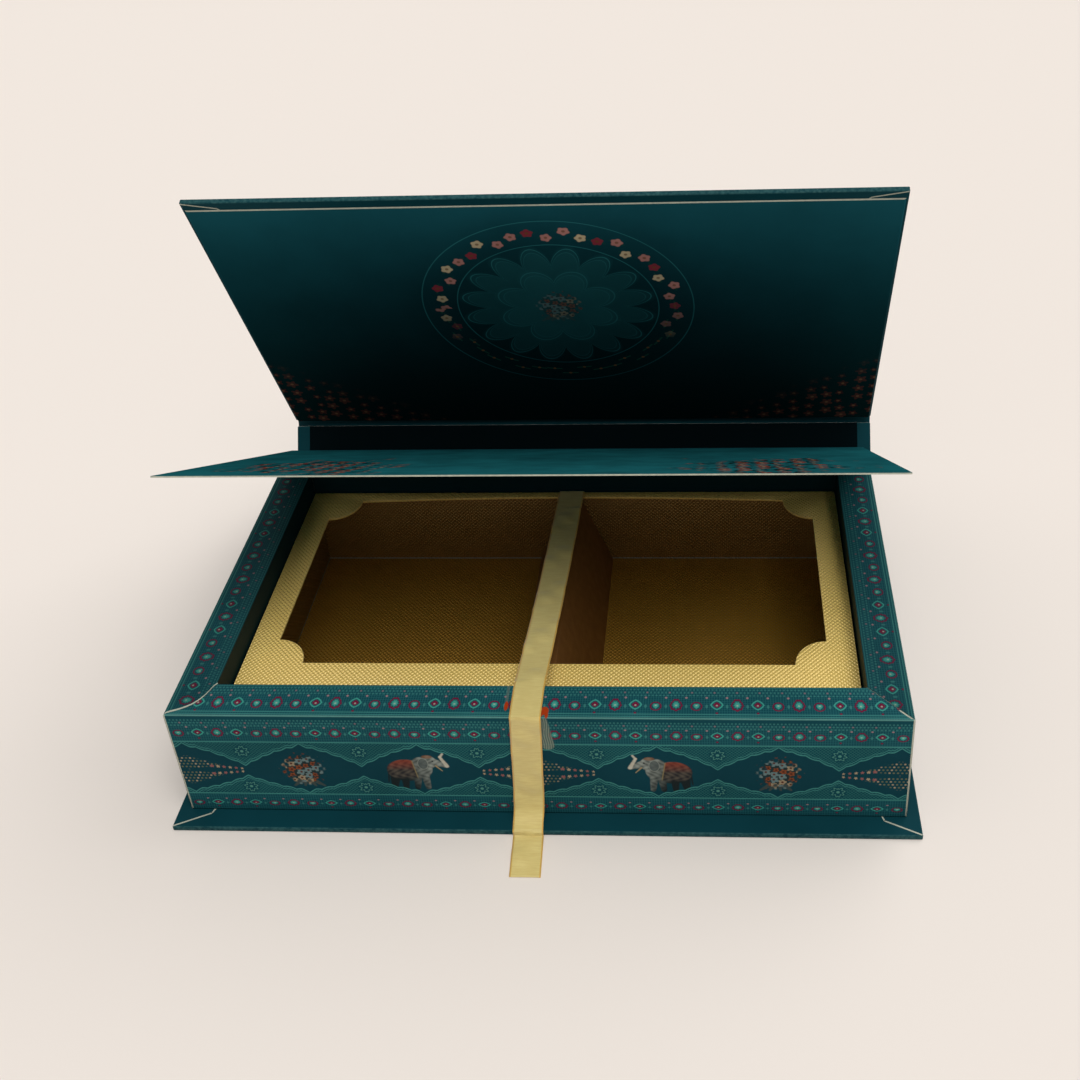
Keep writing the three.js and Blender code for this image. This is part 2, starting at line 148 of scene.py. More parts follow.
camera = bpy.data.cameras.new("camera")
camera.sensor_width = SENSOR
camera.lens = FOCAL_PIXELS / PHOTO_SIDE * SENSOR
camera.shift_x = 0.5 - PRINCIPAL_POINT[0] / PHOTO_SIDE
camera.shift_y = PRINCIPAL_POINT[1] / PHOTO_SIDE - 0.5
camera.clip_start = CLIP_START
ahead = Vector((
    math.sin(CAMERA_YAW) * math.cos(CAMERA_PITCH),
    math.cos(CAMERA_YAW) * math.cos(CAMERA_PITCH),
    -math.sin(CAMERA_PITCH),
))
level = Vector((math.cos(CAMERA_YAW), -math.sin(CAMERA_YAW), 0.0))
upward = level.cross(ahead)
right = level * math.cos(CAMERA_ROLL) + upward * math.sin(CAMERA_ROLL)
upward = upward * math.cos(CAMERA_ROLL) - level * math.sin(CAMERA_ROLL)
camera_stand = bpy.data.objects.new("camera", camera)
camera_axes = Matrix((right, upward, -ahead)).transposed().to_4x4()
camera_stand.matrix_world = Matrix.Translation(CAMERA_PLACE) @ camera_axes
scene.collection.objects.link(camera_stand)
scene.camera = camera_stand

# Greyboard stiffens every cover and wall. It is pressed from waste paper, so its cut faces show grey
# fibres with a few darker flecks, and the wraps hide nearly all of it.
BOARD_INK = "8C857A"
BOARD_FLECK_INK = "6B655C"


class Field:
    """One value that changes over a surface. Sums, products and joined masks become Math nodes."""

    def __init__(self, tree, socket):
        self.tree = tree
        self.socket = socket

    def math(self, operation, *values):
        node = self.tree.nodes.new("ShaderNodeMath")
        node.operation = operation
        for entry, value in zip(node.inputs, (self, *values)):
            feed(self.tree, value, entry)
        return Field(self.tree, node.outputs["Value"])

    def __add__(self, value):
        return self.math("ADD", value)

    def __sub__(self, value):
        return self.math("SUBTRACT", value)

    def __mul__(self, value):
        return self.math("MULTIPLY", value)

    def __truediv__(self, value):
        return self.math("DIVIDE", value)

    def __mod__(self, value):
        return self.math("FLOORED_MODULO", value)

    def __pow__(self, value):
        return self.math("POWER", value)

    def __rsub__(self, value):
        return self * -1.0 + value

    def __neg__(self):
        return self * -1.0

    def __abs__(self):
        return self.math("ABSOLUTE")

    def __or__(self, mask):
        return self.math("MAXIMUM", mask)


def feed(tree, value, entry):
    """Links a field to a socket, or sets the socket to a plain value or to an ink."""
    if isinstance(value, Field):
        tree.links.new(value.socket, entry)
    else:
        entry.default_value = ink(value) if isinstance(value, str) else value


def inside(distance, soft=0.22):
    """A mask that is 1 where a signed distance is below zero, with a soft border."""
    node = distance.tree.nodes.new("ShaderNodeMapRange")
    feed(distance.tree, distance, node.inputs["Value"])
    node.inputs["From Min"].default_value = soft / 2
    node.inputs["From Max"].default_value = -soft / 2
    return Field(distance.tree, node.outputs["Result"])


def painted(under, colour, mask):
    """A colour laid over another where the mask says so."""
    node = mask.tree.nodes.new("ShaderNodeMix")
    node.data_type = "RGBA"
    feed(mask.tree, mask, node.inputs[0])
    feed(mask.tree, under, node.inputs[6])
    feed(mask.tree, colour, node.inputs[7])
    return Field(mask.tree, node.outputs[2])


def layered(ground, *coats):
    """Colours laid one after the other over a ground, each with its own mask."""
    for colour, mask in coats:
        ground = painted(ground, colour, mask)
    return ground


def noise(tree, place, scale, detail=3.0):
    """Cloudy noise from 0 to 1, at so many cells per unit of the place."""
    node = tree.nodes.new("ShaderNodeTexNoise")
    feed(tree, place, node.inputs["Vector"])
    node.inputs["Scale"].default_value = scale
    node.inputs["Detail"].default_value = detail
    return Field(tree, node.outputs["Fac"])


def object_place(tree):
    return Field(tree, tree.nodes.new("ShaderNodeTexCoord").outputs["Object"])


def bump(tree, shader, height, distance, strength=1.0):
    """Raises a shader's normal by a height field. The distance is in metres."""
    node = tree.nodes.new("ShaderNodeBump")
    feed(tree, height, node.inputs["Height"])
    node.inputs["Distance"].default_value = distance
    node.inputs["Strength"].default_value = strength
    tree.links.new(node.outputs["Normal"], shader.inputs["Normal"])


def dress(material, *nodes):
    """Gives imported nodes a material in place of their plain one."""
    for node in nodes:
        mesh = frame["nodes"][node].data
        mesh.materials.clear()
        mesh.materials.append(material)


greyboard, tree, shader = surface("greyboard", Roughness=0.92)
place = object_place(tree)
flecks = inside(0.62 - noise(tree, place, 900.0), 0.1)
feed(tree, painted(BOARD_INK, BOARD_FLECK_INK, flecks), shader.inputs["Base Color"])
bump(tree, shader, noise(tree, place, 1400.0), 0.0001)
SIDES = ("front", "rear", "left", "right")
dress(greyboard, "base_board", "spine_board", "lid_board")
for side in SIDES:
    dress(greyboard, f"{side}_wall_board", f"{side}_inner_board", f"{side}_rim_board")

# Base cover: a greyboard plate wrapped in dark teal art paper with a satin film. The paper folds round
# the plate's edges and turns in over its top, mitred at the front corners where the cut paper shows pale.
TEAL_INK = "0E3B43"
# The spine lining's ink is dark paper with painted shade, near black.
LINING_DARK_AND_SHADE_INK = "030D10"
PAPER_CORE_INK = "C8C8B2"
FRAYED_INK = "8E948A"
WORN_INK = "5D8A84"
DENSE_INK = "04161A"
PAPER = 0.00025
COVER_FOLD = 0.0005
FLAT_AREA = 0.0005
BASE_MITRE = ((0.0, 0.0), (0.0142, 0.0065), (0.0154, 0.0096))
CUT_WIDTH = 0.0006
CUT_HEIGHT = 0.00008


def effect_group(name, inputs, outputs):
    """A shader node group with named sockets, its fields by input name, and its output node."""
    group = bpy.data.node_groups.new(name, "ShaderNodeTree")
    for label, kind in inputs.items():
        group.interface.new_socket(label, in_out="INPUT", socket_type=f"NodeSocket{kind}")
    for label, kind in outputs.items():
        group.interface.new_socket(label, in_out="OUTPUT", socket_type=f"NodeSocket{kind}")
    entry = group.nodes.new("NodeGroupInput")
    fields = [Field(group, entry.outputs[label]) for label in inputs]
    return group, fields, group.nodes.new("NodeGroupOutput")


def use_group(tree, group, **values):
    """Places a group in a tree and returns its outputs as fields."""
    node = tree.nodes.new("ShaderNodeGroup")
    node.node_tree = group
    for label, value in values.items():
        feed(tree, value, node.inputs[label])
    return [Field(tree, socket) for socket in node.outputs]


# The satin film over printed paper: cloudy print density, faint handling marks and a fine orange peel.
satin_film, (print_colour, film_place, wear), film_out = effect_group(
    "satin_film",
    {"Print": "Color", "Place": "Vector", "Wear": "Float"},
    {"Color": "Color", "Roughness": "Float", "Height": "Float"},
)
cloud = noise(satin_film, film_place, 35.0)
density = painted(print_colour, DENSE_INK, (cloud - 0.35) * 0.5)
rubbed = inside(0.56 - noise(satin_film, film_place, 700.0), 0.5) * wear * 0.35
feed(satin_film, painted(density, WORN_INK, rubbed), film_out.inputs["Color"])
marks = noise(satin_film, film_place, 90.0, 5.0)
feed(satin_film, marks * 0.16 + 0.32 + rubbed * 0.2, film_out.inputs["Roughness"])
feed(satin_film, noise(satin_film, film_place, 2600.0, 2.0), film_out.inputs["Height"])


def finish_print(tree, shader, colour, wear=0.0):
    """Lays the satin film over a printed colour and sends it to the shader."""
    colour, roughness, height = use_group(
        tree, satin_film, Print=colour, Place=object_place(tree), Wear=wear)
    feed(tree, colour, shader.inputs["Base Color"])
    feed(tree, roughness, shader.inputs["Roughness"])
    bump(tree, shader, height, 0.00002)


def attribute(tree, name):
    node = tree.nodes.new("ShaderNodeAttribute")
    node.attribute_name = name
    return Field(tree, node.outputs["Fac"])


teal_paper, tree, shader = surface("teal_paper", Specular_IOR_Level=0.02)
finish_print(tree, shader, TEAL_INK, attribute(tree, "fold"))

dark_shaded_paper, tree, shader = surface("dark_shaded_paper", Specular_IOR_Level=0.01)
finish_print(tree, shader, LINING_DARK_AND_SHADE_INK)

cut_paper, tree, shader = surface("cut_paper", Roughness=0.85)
torn = noise(tree, object_place(tree), 700.0)
feed(tree, painted(PAPER_CORE_INK, FRAYED_INK, torn), shader.inputs["Base Color"])


def make_piece(name, shape, materials, slot, *nodes, body=None):
    """Turns a bmesh into a smooth-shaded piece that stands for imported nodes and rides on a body."""
    mesh = bpy.data.meshes.new(name)
    shape.to_mesh(mesh)
    shape.free()
    for material in materials:
        mesh.materials.append(material)
    mesh.shade_smooth()
    mesh.set_sharp_from_angle(angle=math.radians(40))
    piece = bpy.data.objects.new(name, mesh)
    scene.collection.objects.link(piece)
    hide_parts(*nodes)
    if body:
        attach(piece, body)
    return piece


def thicken(piece, thickness, rim_material=1):
    """Gives a sheet its thickness behind its printed face, with bare paper on the cut."""
    layer = piece.modifiers.new("paper", "SOLIDIFY")
    layer.thickness = thickness
    layer.offset = -1.0
    layer.material_offset_rim = rim_material
    layer.use_even_offset = True


def block(low, high):
    """A box between two corners."""
    shape = bmesh.new()
    bmesh.ops.create_cube(shape, size=1.0)
    bmesh.ops.scale(shape, vec=high - low, verts=shape.verts)
    bmesh.ops.translate(shape, vec=(low + high) / 2, verts=shape.verts)
    return shape


def round_edges(shape, edges, radius, segments):
    bmesh.ops.bevel(
        shape, geom=edges, offset=radius, segments=segments, profile=0.5, affect="EDGES", material=-1)


def folded_plate(low, high):
    """A board plate in its wrap: a block with round paper folds, marked for wear away from its wide faces."""
    shape = block(low, high)
    fold = shape.verts.layers.float.new("fold")
    round_edges(shape, shape.edges[:], COVER_FOLD, 4)
    for vert in shape.verts:
        vert[fold] = float(all(face.calc_area() <= FLAT_AREA for face in vert.link_faces))
    return shape


def cut_ridge(shape, start, end, level):
    """The raised pale edge of one turned-in flap where it is cut over the other."""
    run = end - start
    made = bmesh.ops.create_cube(shape, size=1.0)["verts"]
    bmesh.ops.scale(shape, vec=(run.length + CUT_WIDTH / 2, CUT_WIDTH, CUT_HEIGHT * 2), verts=made)
    turn = Matrix.Rotation(math.atan2(run.y, run.x), 3, "Z")
    bmesh.ops.rotate(shape, matrix=turn, cent=(0, 0, 0), verts=made)
    bmesh.ops.translate(shape, vec=(*((start + end) / 2), level), verts=made)
    for face in {face for vert in made for face in vert.link_faces}:
        face.material_index = 1


def cut_mitres(shape, low, high, route, level):
    """The cut edges at both front corners of a cover, along a route that starts at the corner."""
    for hand in (-1, 1):
        corner = Vector((hand * (high.x - COVER_FOLD), low.y + COVER_FOLD))
        points = [corner + Vector((-hand * inward, back)) for inward, back in route]
        for start, end in zip(points, points[1:]):
            cut_ridge(shape, start, end, level)


def cut_border(shape):
    """Parts off the narrow border of a sheet, where its cut edge may show, and returns its faces."""
    return bmesh.ops.inset_region(
        shape, faces=shape.faces[:], thickness=CUT_WIDTH, use_even_offset=True, use_boundary=True)["faces"]


low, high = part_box("base_wrap")
shape = folded_plate(low, high)
cut_mitres(shape, low, high, BASE_MITRE, high.z)
make_piece("base_cover", shape, (teal_paper, cut_paper), "teal_paper", "base_wrap", body="base")
dress(teal_paper, "base_lining")

# Tray sides: each is one printed sheet glued up the outer wall, over the wide rim and down the inner
# wall. The sheets meet at the corners in cut edges, and the left one laps over the front in a curve.
MOTIF_PITCH = 8.1
MOTIF_KINDS = 6
PATTERN_PERIOD = MOTIF_PITCH * MOTIF_KINDS
WALL_ROW = 46.2
WALL_DOTS = 51.6
WALL_LINE = 40.8
FOOT_LINE = 10.0
FOOT_ROW = 4.6
RIM_ROW = 7.2
RIM_DOTS = 13.6
RIM_LINES = (1.1, 2.3)
GROUND_INK = "13454E"
DEEP_INK = "0E3B45"
LINE_INK = "3F817B"
AQUA_INK = "429C8D"
CORE_INK = "A9B5A4"
MAROON_INK = "701637"
BLUSH_INK = "97777B"
CREAM_INK = "C4AB88"
ROSE_INK = "A9655F"
INNER_INK = "0F2F36"
# Painted shade: the sheets other than the front one get a darker coat of this ink, at this share.
SIDE_PAINTED_SHADE_INK = "0A2226"
SIDE_PAINTED_SHADE = 0.4
TRAY_FOLD = 0.0006
LAP_BULGE = 0.0032
LAP_START = 0.0012
MITRE_CUTS = 15
NEAR = 1e-6


def radius_of(x, y):
    return (x * x + y * y).math("SQRT")


def ring(distance, width):
    """The signed distance to a line of that width along a shape's outline."""
    return abs(distance) - width / 2


def print_group(name, *measures):
    """A printed ornament as a group that paints it over a ground, by measures in millimetres."""
    return effect_group(name, {**dict.fromkeys(measures, "Float"), "Ground": "Color"}, {"Color": "Color"})


# One row of the border: hearts and round diamonds on either side of leaves, with dots between them.
motif_row, (along, across, ground), row_out = print_group("motif_row", "Along", "Across")
cells = along / MOTIF_PITCH
cell = cells.math("FLOOR")
kind = cell % MOTIF_KINDS
x = (cells - cell - 0.5) * MOTIF_PITCH
is_leaf = (kind % 3).math("COMPARE", 1.0, 0.1)
is_heart = kind.math("LESS_THAN", 2.5) * (1.0 - is_leaf)
is_diamond = kind.math("GREATER_THAN", 2.5) * (1.0 - is_leaf)
angle = across.math("ARCTAN2", x)
scallop = (angle * 9.0).math("SINE") * 0.16
leaf_size = radius_of(x * (across.math("MAXIMUM", 0.0) * 0.13 + 1.0), across * 0.8) + scallop
heart_y = across + 0.8
round_size = radius_of(x, heart_y)
heart_size = radius_of(x, heart_y - (abs(x).math("SQRT") * 0.7 - 0.25))
diamond_size = (abs(x) + abs(across)) * 0.45 + radius_of(x, across) * 0.55
gap = abs(x) - MOTIF_PITCH / 2
colour = layered(
    ground,
    (MAROON_INK, inside(ring(leaf_size - 2.2, 0.65)) * is_leaf),
    (AQUA_INK, inside(leaf_size - 1.25, 0.7) * is_leaf),
    (MAROON_INK, inside(ring(round_size - 2.05, 0.55)) * is_heart),
    (AQUA_INK, inside(heart_size - 1.15, 0.5) * is_heart),
    (AQUA_INK, inside(ring(diamond_size - 2.35, 0.7)) * is_diamond * 0.9),
    (MAROON_INK, inside(diamond_size - 1.4, 0.5) * is_diamond),
    (CORE_INK, inside(radius_of(x, across + 0.3) - 0.4, 0.4) * 0.8),
    (MAROON_INK, inside(radius_of(x, across + 4.3) - 0.5) * is_diamond),
    (LINE_INK, inside(radius_of(gap * 1.8, across + 0.8) - 0.95, 0.5) * 0.7),
    (BLUSH_INK, inside(radius_of(gap, across - 3.7) - 0.5)),
)
feed(motif_row, colour, row_out.inputs["Color"])

# The dotted net beside a row: three staggered lines of tiny dots, with a blush dot here and there.
dot_net, (along, across, ground), net_out = print_group("dot_net", "Along", "Across")
NET_PITCH = 1.5
line = (across / NET_PITCH).math("ROUND")
shifted = along / NET_PITCH + line * 0.5
dot_x = (shifted - shifted.math("ROUND")) * NET_PITCH
dot_y = across - line * NET_PITCH
dot = inside(radius_of(dot_x, dot_y) - 0.42, 0.3) * inside(abs(across) - 2.2)
blushing = (shifted.math("ROUND") % 6).math("LESS_THAN", 0.5) * line.math("COMPARE", 0.0, 0.1)
dot_ink = painted(LINE_INK, BLUSH_INK, blushing)
feed(dot_net, painted(ground, dot_ink, dot * 0.65), net_out.inputs["Color"])

# Lace that hangs from a straight line in pointed scallops, one point to a period: a fine net with a
# rosette above each point and a bright outline.
lace, (along, depth, reach, ground), lace_out = print_group("lace", "Along", "Depth", "Reach")
LACE_GROUND_INK = "11434C"
LACE_NET_INK = "33706A"
ROSETTE_INK = "4E877B"
HALF_PERIOD = PATTERN_PERIOD / 2
from_centre = abs((along + HALF_PERIOD) % PATTERN_PERIOD - HALF_PERIOD) / HALF_PERIOD
lobes = abs((from_centre * (4.5 * math.pi)).math("SINE")) * 0.7
peak = (from_centre * -8.0 + 1.0).math("MAXIMUM", 0.0) * 1.2
edge = (from_centre ** 1.5) * (reach - 2.0) + 2.0 + lobes - peak
within = inside(depth - edge) * inside(-depth)
net_a = abs(((along + depth) * 2.1).math("SINE"))
net_b = abs(((along - depth) * 2.1).math("SINE"))
net = inside(net_a.math("MINIMUM", net_b) - 0.22, 0.3)
from_point = (1.0 - from_centre) * HALF_PERIOD
rose_y = depth - reach * 0.42
rose_size = radius_of(from_point, rose_y)
petals = (rose_y.math("ARCTAN2", from_point) * 8.0).math("SINE") * 0.5 + 2.3
rosette = inside(ring(rose_size - petals, 0.5)) | inside(rose_size - 0.7)
clear = inside(rose_size - 3.4, 0.6)
lace_ink = layered(LACE_GROUND_INK, (LACE_NET_INK, net * (1.0 - clear)), (ROSETTE_INK, rosette))
outline = inside(ring(depth - edge, 0.6)) | inside(ring(depth - edge + 1.3, 0.3))
colour = layered(ground, (lace_ink, within), (LINE_INK, outline * inside(-depth)))
feed(lace, colour, lace_out.inputs["Color"])

# An elephant in a red cloth, walking with its trunk curled up, drawn from ovals and tapering limbs.
elephant, (x, y, ground), elephant_out = print_group("elephant", "X", "Y")


def oval(x, y, centre, radii):
    """A signed distance, in shares of the radius, to an oval."""
    return radius_of((x - centre[0]) / radii[0], (y - centre[1]) / radii[1]) - 1.0


def limb(x, y, start, end, radii):
    """A signed distance to a tapering limb with round ends."""
    reach = Vector(end) - Vector(start)
    way_x = x - start[0]
    way_y = y - start[1]
    share = (way_x * (reach.x / reach.length_squared) + way_y * (reach.y / reach.length_squared))
    share = share.math("MAXIMUM", 0.0).math("MINIMUM", 1.0)
    off_line = radius_of(way_x - share * reach.x, way_y - share * reach.y)
    return off_line - share * (radii[1] - radii[0]) - radii[0]


HIDE_INK = "8E958D"
HIDE_SHADE_INK = "1D2526"
TRUNK_TIP_INK = "C9C2AE"
CLOTH_INK = "8C3D2C"
CLOTH_FADED_INK = "565047"
CLOTH_SHADE_INK = "28282A"
CLOTH_TRIM_INK = "8B7D58"
EAR_INK = "4A5352"
EAR_EDGE_INK = "8D938A"
CAP_INK = "7A5236"
EYE_INK = "1C2222"
TUSK_INK = "8E7F60"
BODY = ((5.6, 0.6), (7.2, 5.8))
SHOULDER = ((-0.4, 2.2), (4.2, 5.6))
HEAD = ((-3.4, 5.2), (3.0, 3.5))
EAR = ((-1.2, 4.2), (1.9, 2.9))
CAP = ((-3.0, 8.0), (2.0, 0.9))
TUSK = ((-6.0, 3.2), (-8.2, 0.5), (0.4, 0.2))
TRUNK_CURL = (((-10.2, 3.1), (-8.0, 7.9), (0.95, 0.65)), ((-8.0, 7.9), (-9.1, 9.6), (0.65, 0.5)))
LIMBS = (
    ((-1.3, -1.0), (-1.9, -8.6), (1.7, 1.05)), ((1.4, -2.0), (2.2, -8.8), (1.7, 1.05)),
    ((6.4, -3.0), (6.6, -8.6), (1.7, 1.1)), ((10.0, -2.0), (11.0, -8.8), (2.2, 1.1)),
    ((-5.0, 5.4), (-10.2, 3.1), (1.9, 0.95)), ((12.2, 0.5), (13.0, -5.6), (0.4, 0.25)),
)
skin = inside(oval(x, y, *BODY), 0.08) | inside(oval(x, y, *SHOULDER), 0.1) | inside(oval(x, y, *HEAD), 0.12)
for part in LIMBS + TRUNK_CURL:
    skin = skin | inside(limb(x, y, *part), 0.4)
lit = inside(x * 0.9 - y * 0.5 - 1.0, 12.0)
wrinkles = (x * 1.7 + (y * 1.1).math("SINE") * 1.5).math("SINE") * (y * 1.9 + x * 0.4).math("SINE")
mottle = wrinkles * 0.5 + 0.5
hide = painted(HIDE_SHADE_INK, HIDE_INK, lit * (mottle * 0.7 + 0.3))
cloth_front = x - y * 0.15 - 1.8
cloth = inside(-cloth_front, 0.4) * inside(-y - 3.4, 1.6) * inside(oval(x, y, *BODY), 0.08)
cloth_ink = layered(
    CLOTH_SHADE_INK,
    (CLOTH_FADED_INK, mottle),
    (CLOTH_INK, inside(3.6 - y, 6.0) * (mottle * 0.4 + 0.6)),
    (CLOTH_TRIM_INK, inside(ring(cloth_front, 0.9), 0.3) * 0.7),
)
ear = oval(x, y, *EAR)
colour = layered(
    ground,
    (hide, skin),
    *[(TRUNK_TIP_INK, inside(limb(x, y, *part) + 0.2, 0.4) * 0.7) for part in TRUNK_CURL],
    (cloth_ink, cloth),
    (EAR_INK, inside(ear, 0.1) * 0.8),
    (EAR_EDGE_INK, inside(ring(ear, 0.12), 0.1) * 0.6),
    (CAP_INK, inside(oval(x, y, *CAP), 0.2) * 0.7),
    (EYE_INK, inside(radius_of(x + 5.0, y - 5.7) - 0.35)),
    (TUSK_INK, inside(limb(x, y, *TUSK), 0.2)),
)
feed(elephant, colour, elephant_out.inputs["Color"])

# A scatter of five-petalled flowers on a loose grid, with a mask of the petals and one of the hearts.
flowers, (x, y, pitch, size), flowers_out = effect_group(
    "flowers",
    {"X": "Float", "Y": "Float", "Pitch": "Float", "Size": "Float"},
    {"Petals": "Float", "Hearts": "Float", "Tone": "Float"},
)
column = (x / pitch).math("ROUND")
row_y = y / pitch + column * 0.37
row = row_y.math("ROUND")
drift = ((column * 12.9 + row * 78.2).math("SINE") * 43.7).math("FRACT") - 0.5
flower_x = x - column * pitch + drift * pitch * 0.35
flower_y = (row_y - row) * pitch - drift * pitch * 0.3
flower_size = radius_of(flower_x, flower_y)
petal = (flower_y.math("ARCTAN2", flower_x) * 5.0 + drift * 9.0).math("SINE") * 0.22 + 0.85
feed(flowers, inside(flower_size - petal * size * (drift * 0.6 + 1.0), 0.4), flowers_out.inputs["Petals"])
feed(flowers, inside(flower_size - size * 0.3, 0.3), flowers_out.inputs["Hearts"])
feed(flowers, drift + 0.5, flowers_out.inputs["Tone"])

# A posy of mixed blossoms in cream, orange and grey-blue over dark leaves.
posy, (x, y, ground), posy_out = print_group("posy", "X", "Y")
BLADE_INK = "3B4745"
BLADE_TIPS = (-6.0, -2.8, 1.0, 4.6)
LEAVES_INK = "28302E"
CREAM_BLOOM_INK = "93836A"
ORANGE_BLOOM_INK = "80462A"
BLUE_BLOOM_INK = "667B7B"
POSY_HEART_INK = "52291F"
ragged = (x * 1.9).math("SINE") * (y * 1.6).math("SINE") * 0.3
cluster = inside(oval(x, y, (0.3, 0.6), (6.2, 6.4)) + ragged, 0.3)
petals, hearts, tone = use_group(posy, flowers, X=x + 20.0, Y=y + 20.0, Pitch=2.7, Size=1.5)
bloom_ink = layered(
    CREAM_BLOOM_INK,
    (ORANGE_BLOOM_INK, tone.math("LESS_THAN", 0.4)),
    (BLUE_BLOOM_INK, tone.math("GREATER_THAN", 0.72)),
)
colour = layered(
    ground,
    *[(BLADE_INK, inside(limb(x, y, (0.0, -3.0), (tip, -7.6), (1.5, 0.4)), 0.4)) for tip in BLADE_TIPS],
    (LEAVES_INK, cluster * 0.8),
    (bloom_ink, petals * cluster),
    (POSY_HEART_INK, hearts * cluster),
)
feed(posy, colour, posy_out.inputs["Color"])

# An ornament on each side of a medallion's middle line: a fan of small beads, and a chain of tiny blossoms
# that runs on from it to the medallion's point.
sprays, (x, y, ground), sprays_out = print_group("sprays", "X", "Y")
BEAD_INK = "7F7C58"
BEAD_PITCH = 1.7
BLOSSOM_PITCH = 2.5
CHAIN_START = 9.0
CHAIN_END = 23.0
reach = abs(x)
row = (abs(y) / BEAD_PITCH).math("ROUND")
shifted = reach / BEAD_PITCH + row * 0.5
bead_x = (shifted - shifted.math("ROUND")) * BEAD_PITCH
bead = inside(radius_of(bead_x, abs(y) - row * BEAD_PITCH) - 0.45, 0.3)
fan = inside(abs(abs(y) + reach * 0.12 - 4.4) + reach * 0.28 - 3.9, 0.8)
bead_ink = painted(BEAD_INK, CREAM_INK, (shifted.math("ROUND") % 3).math("LESS_THAN", 0.5))
colour = painted(ground, bead_ink, bead * fan * 0.6)
blossom = (reach / BLOSSOM_PITCH).math("ROUND")
chain_x = reach - blossom * BLOSSOM_PITCH
chain_y = abs(y) + reach * 0.11 - 3.4
chain_size = radius_of(chain_x, chain_y)
petals = (chain_y.math("ARCTAN2", chain_x) * 5.0).math("SINE") * 0.2 + reach * -0.022 + 1.0
chain = inside(chain_size - petals) * inside(CHAIN_START - reach, 0.2) * inside(reach - CHAIN_END, 0.2)
chain_ink = painted(CREAM_INK, ROSE_INK, (blossom % 2).math("LESS_THAN", 0.5))
colour = painted(colour, chain_ink, chain * 0.65)
feed(sprays, colour, sprays_out.inputs["Color"])

# The whole printed sheet of a tray side, in millimetres along it and up from its foot.
side_print, (along, up, wall, rim), side_out = effect_group(
    "side_print",
    {"Along": "Float", "Up": "Float", "Wall": "Float", "Rim": "Float"},
    {"Color": "Color", "Fold": "Float"},
)
STIPPLE_INK = "286367"
CREST_INK = "6BA398"
FIGURE_DROP = 1.2
ELEPHANT_UNIT = 0.92
POSY_UNIT = 0.85
WALL_LACE = 13.2
FOOT_LACE = 10.4
STIPPLE_TURN = 3.1
ROW_REACH = 5.4
half_along = abs(along)
medallion = (half_along / PATTERN_PERIOD).math("ROUND")
figure_x = half_along - medallion * PATTERN_PERIOD
figure_y = up - (WALL_LINE + FOOT_LINE) / 2 + FIGURE_DROP
field_ink = painted(GROUND_INK, DEEP_INK, inside(up - WALL_LINE) * inside(FOOT_LINE - up))
colour, = use_group(side_print, sprays, X=figure_x, Y=figure_y, Ground=field_ink)
walking, = use_group(
    side_print, elephant, X=figure_x * ELEPHANT_UNIT, Y=figure_y * ELEPHANT_UNIT, Ground=field_ink)
blossoms, = use_group(
    side_print, posy, X=figure_x * POSY_UNIT, Y=figure_y * POSY_UNIT, Ground=field_ink)
for figure, number in ((walking, 1.0), (blossoms, 2.0)):
    colour = painted(colour, figure, medallion.math("COMPARE", number, 0.1))
for depth, reach in ((WALL_LINE - up, WALL_LACE), (up - FOOT_LINE, FOOT_LACE)):
    colour, = use_group(side_print, lace, Along=half_along, Depth=depth, Reach=reach, Ground=colour)
on_rim = up - wall
row_along = half_along + MOTIF_PITCH / 2
stipple = abs((half_along * STIPPLE_TURN).math("SINE")) * abs((up * STIPPLE_TURN).math("SINE"))
bands = inside(ring(up - WALL_ROW, WALL_DOTS - WALL_LINE + 2)) | inside(-on_rim) | inside(up - FOOT_LINE)
colour = painted(colour, STIPPLE_INK, inside(stipple - 0.35, 0.4) * bands * 0.75)
for level, stretch in ((up - WALL_ROW, 1.25), (up - FOOT_ROW, 1.7), (on_rim - RIM_ROW, 1.0)):
    row, = use_group(side_print, motif_row, Along=row_along, Across=level * stretch, Ground=colour)
    colour = painted(colour, row, inside(abs(level) - ROW_REACH / stretch))
for level in (up - WALL_DOTS, on_rim - RIM_DOTS):
    colour, = use_group(side_print, dot_net, Along=along, Across=level, Ground=colour)
lines = inside(ring(up - WALL_LINE, 0.6)) | inside(ring(up - FOOT_LINE, 0.6))
for level in RIM_LINES:
    lines = lines | inside(ring(on_rim - level, 0.4))
lines = lines | inside(ring(on_rim - rim + 0.7, 0.5)) * 0.5
fold_line = inside(ring(on_rim, 0.8), 0.6)
colour = layered(colour, (LINE_INK, lines), (INNER_INK, inside(rim - on_rim)), (CREST_INK, fold_line * 0.6))
feed(side_print, colour, side_out.inputs["Color"])
feed(side_print, fold_line, side_out.inputs["Fold"])

# A knot with a hanging tassel, printed on the front sheet alone where the ribbon goes over its rim. It is
# measured from the middle of the side and from the fold.
tassel, (x, y, ground), tassel_out = print_group("tassel", "X", "Y")
KNOT_INK = "A83A14"
FRINGE_INK = "8A917F"
FRINGE_SHADE_INK = "3C5652"
CORD_INK = "5E6E66"
KNOT = (
    ((2.6, 1.8), (1.4, 1.5)), ((4.4, 3.6), (1.7, 2.1)), ((5.4, 1.3), (0.7, 1.7)), ((-11.3, 6.0), (0.8, 2.4)),
)
FRINGE = ((4.4, -1.6), (5.0, -15.4), (1.3, 2.6))
CORD = ((-11.4, 8.5), (-11.6, 18.0), (0.6, 0.6))
strands = abs((x * 3.4 + (y * 0.5).math("SINE")).math("SINE"))
colour = layered(
    ground,
    (painted(FRINGE_SHADE_INK, FRINGE_INK, strands), inside(limb(x, y, *FRINGE), 0.8) * 0.8),
    (CORD_INK, inside(limb(x, y, *CORD), 0.4) * 0.6),
    *[(KNOT_INK, inside(oval(x, y, *lobe), 0.3)) for lobe in KNOT],
)
feed(tassel, colour, tassel_out.inputs["Color"])

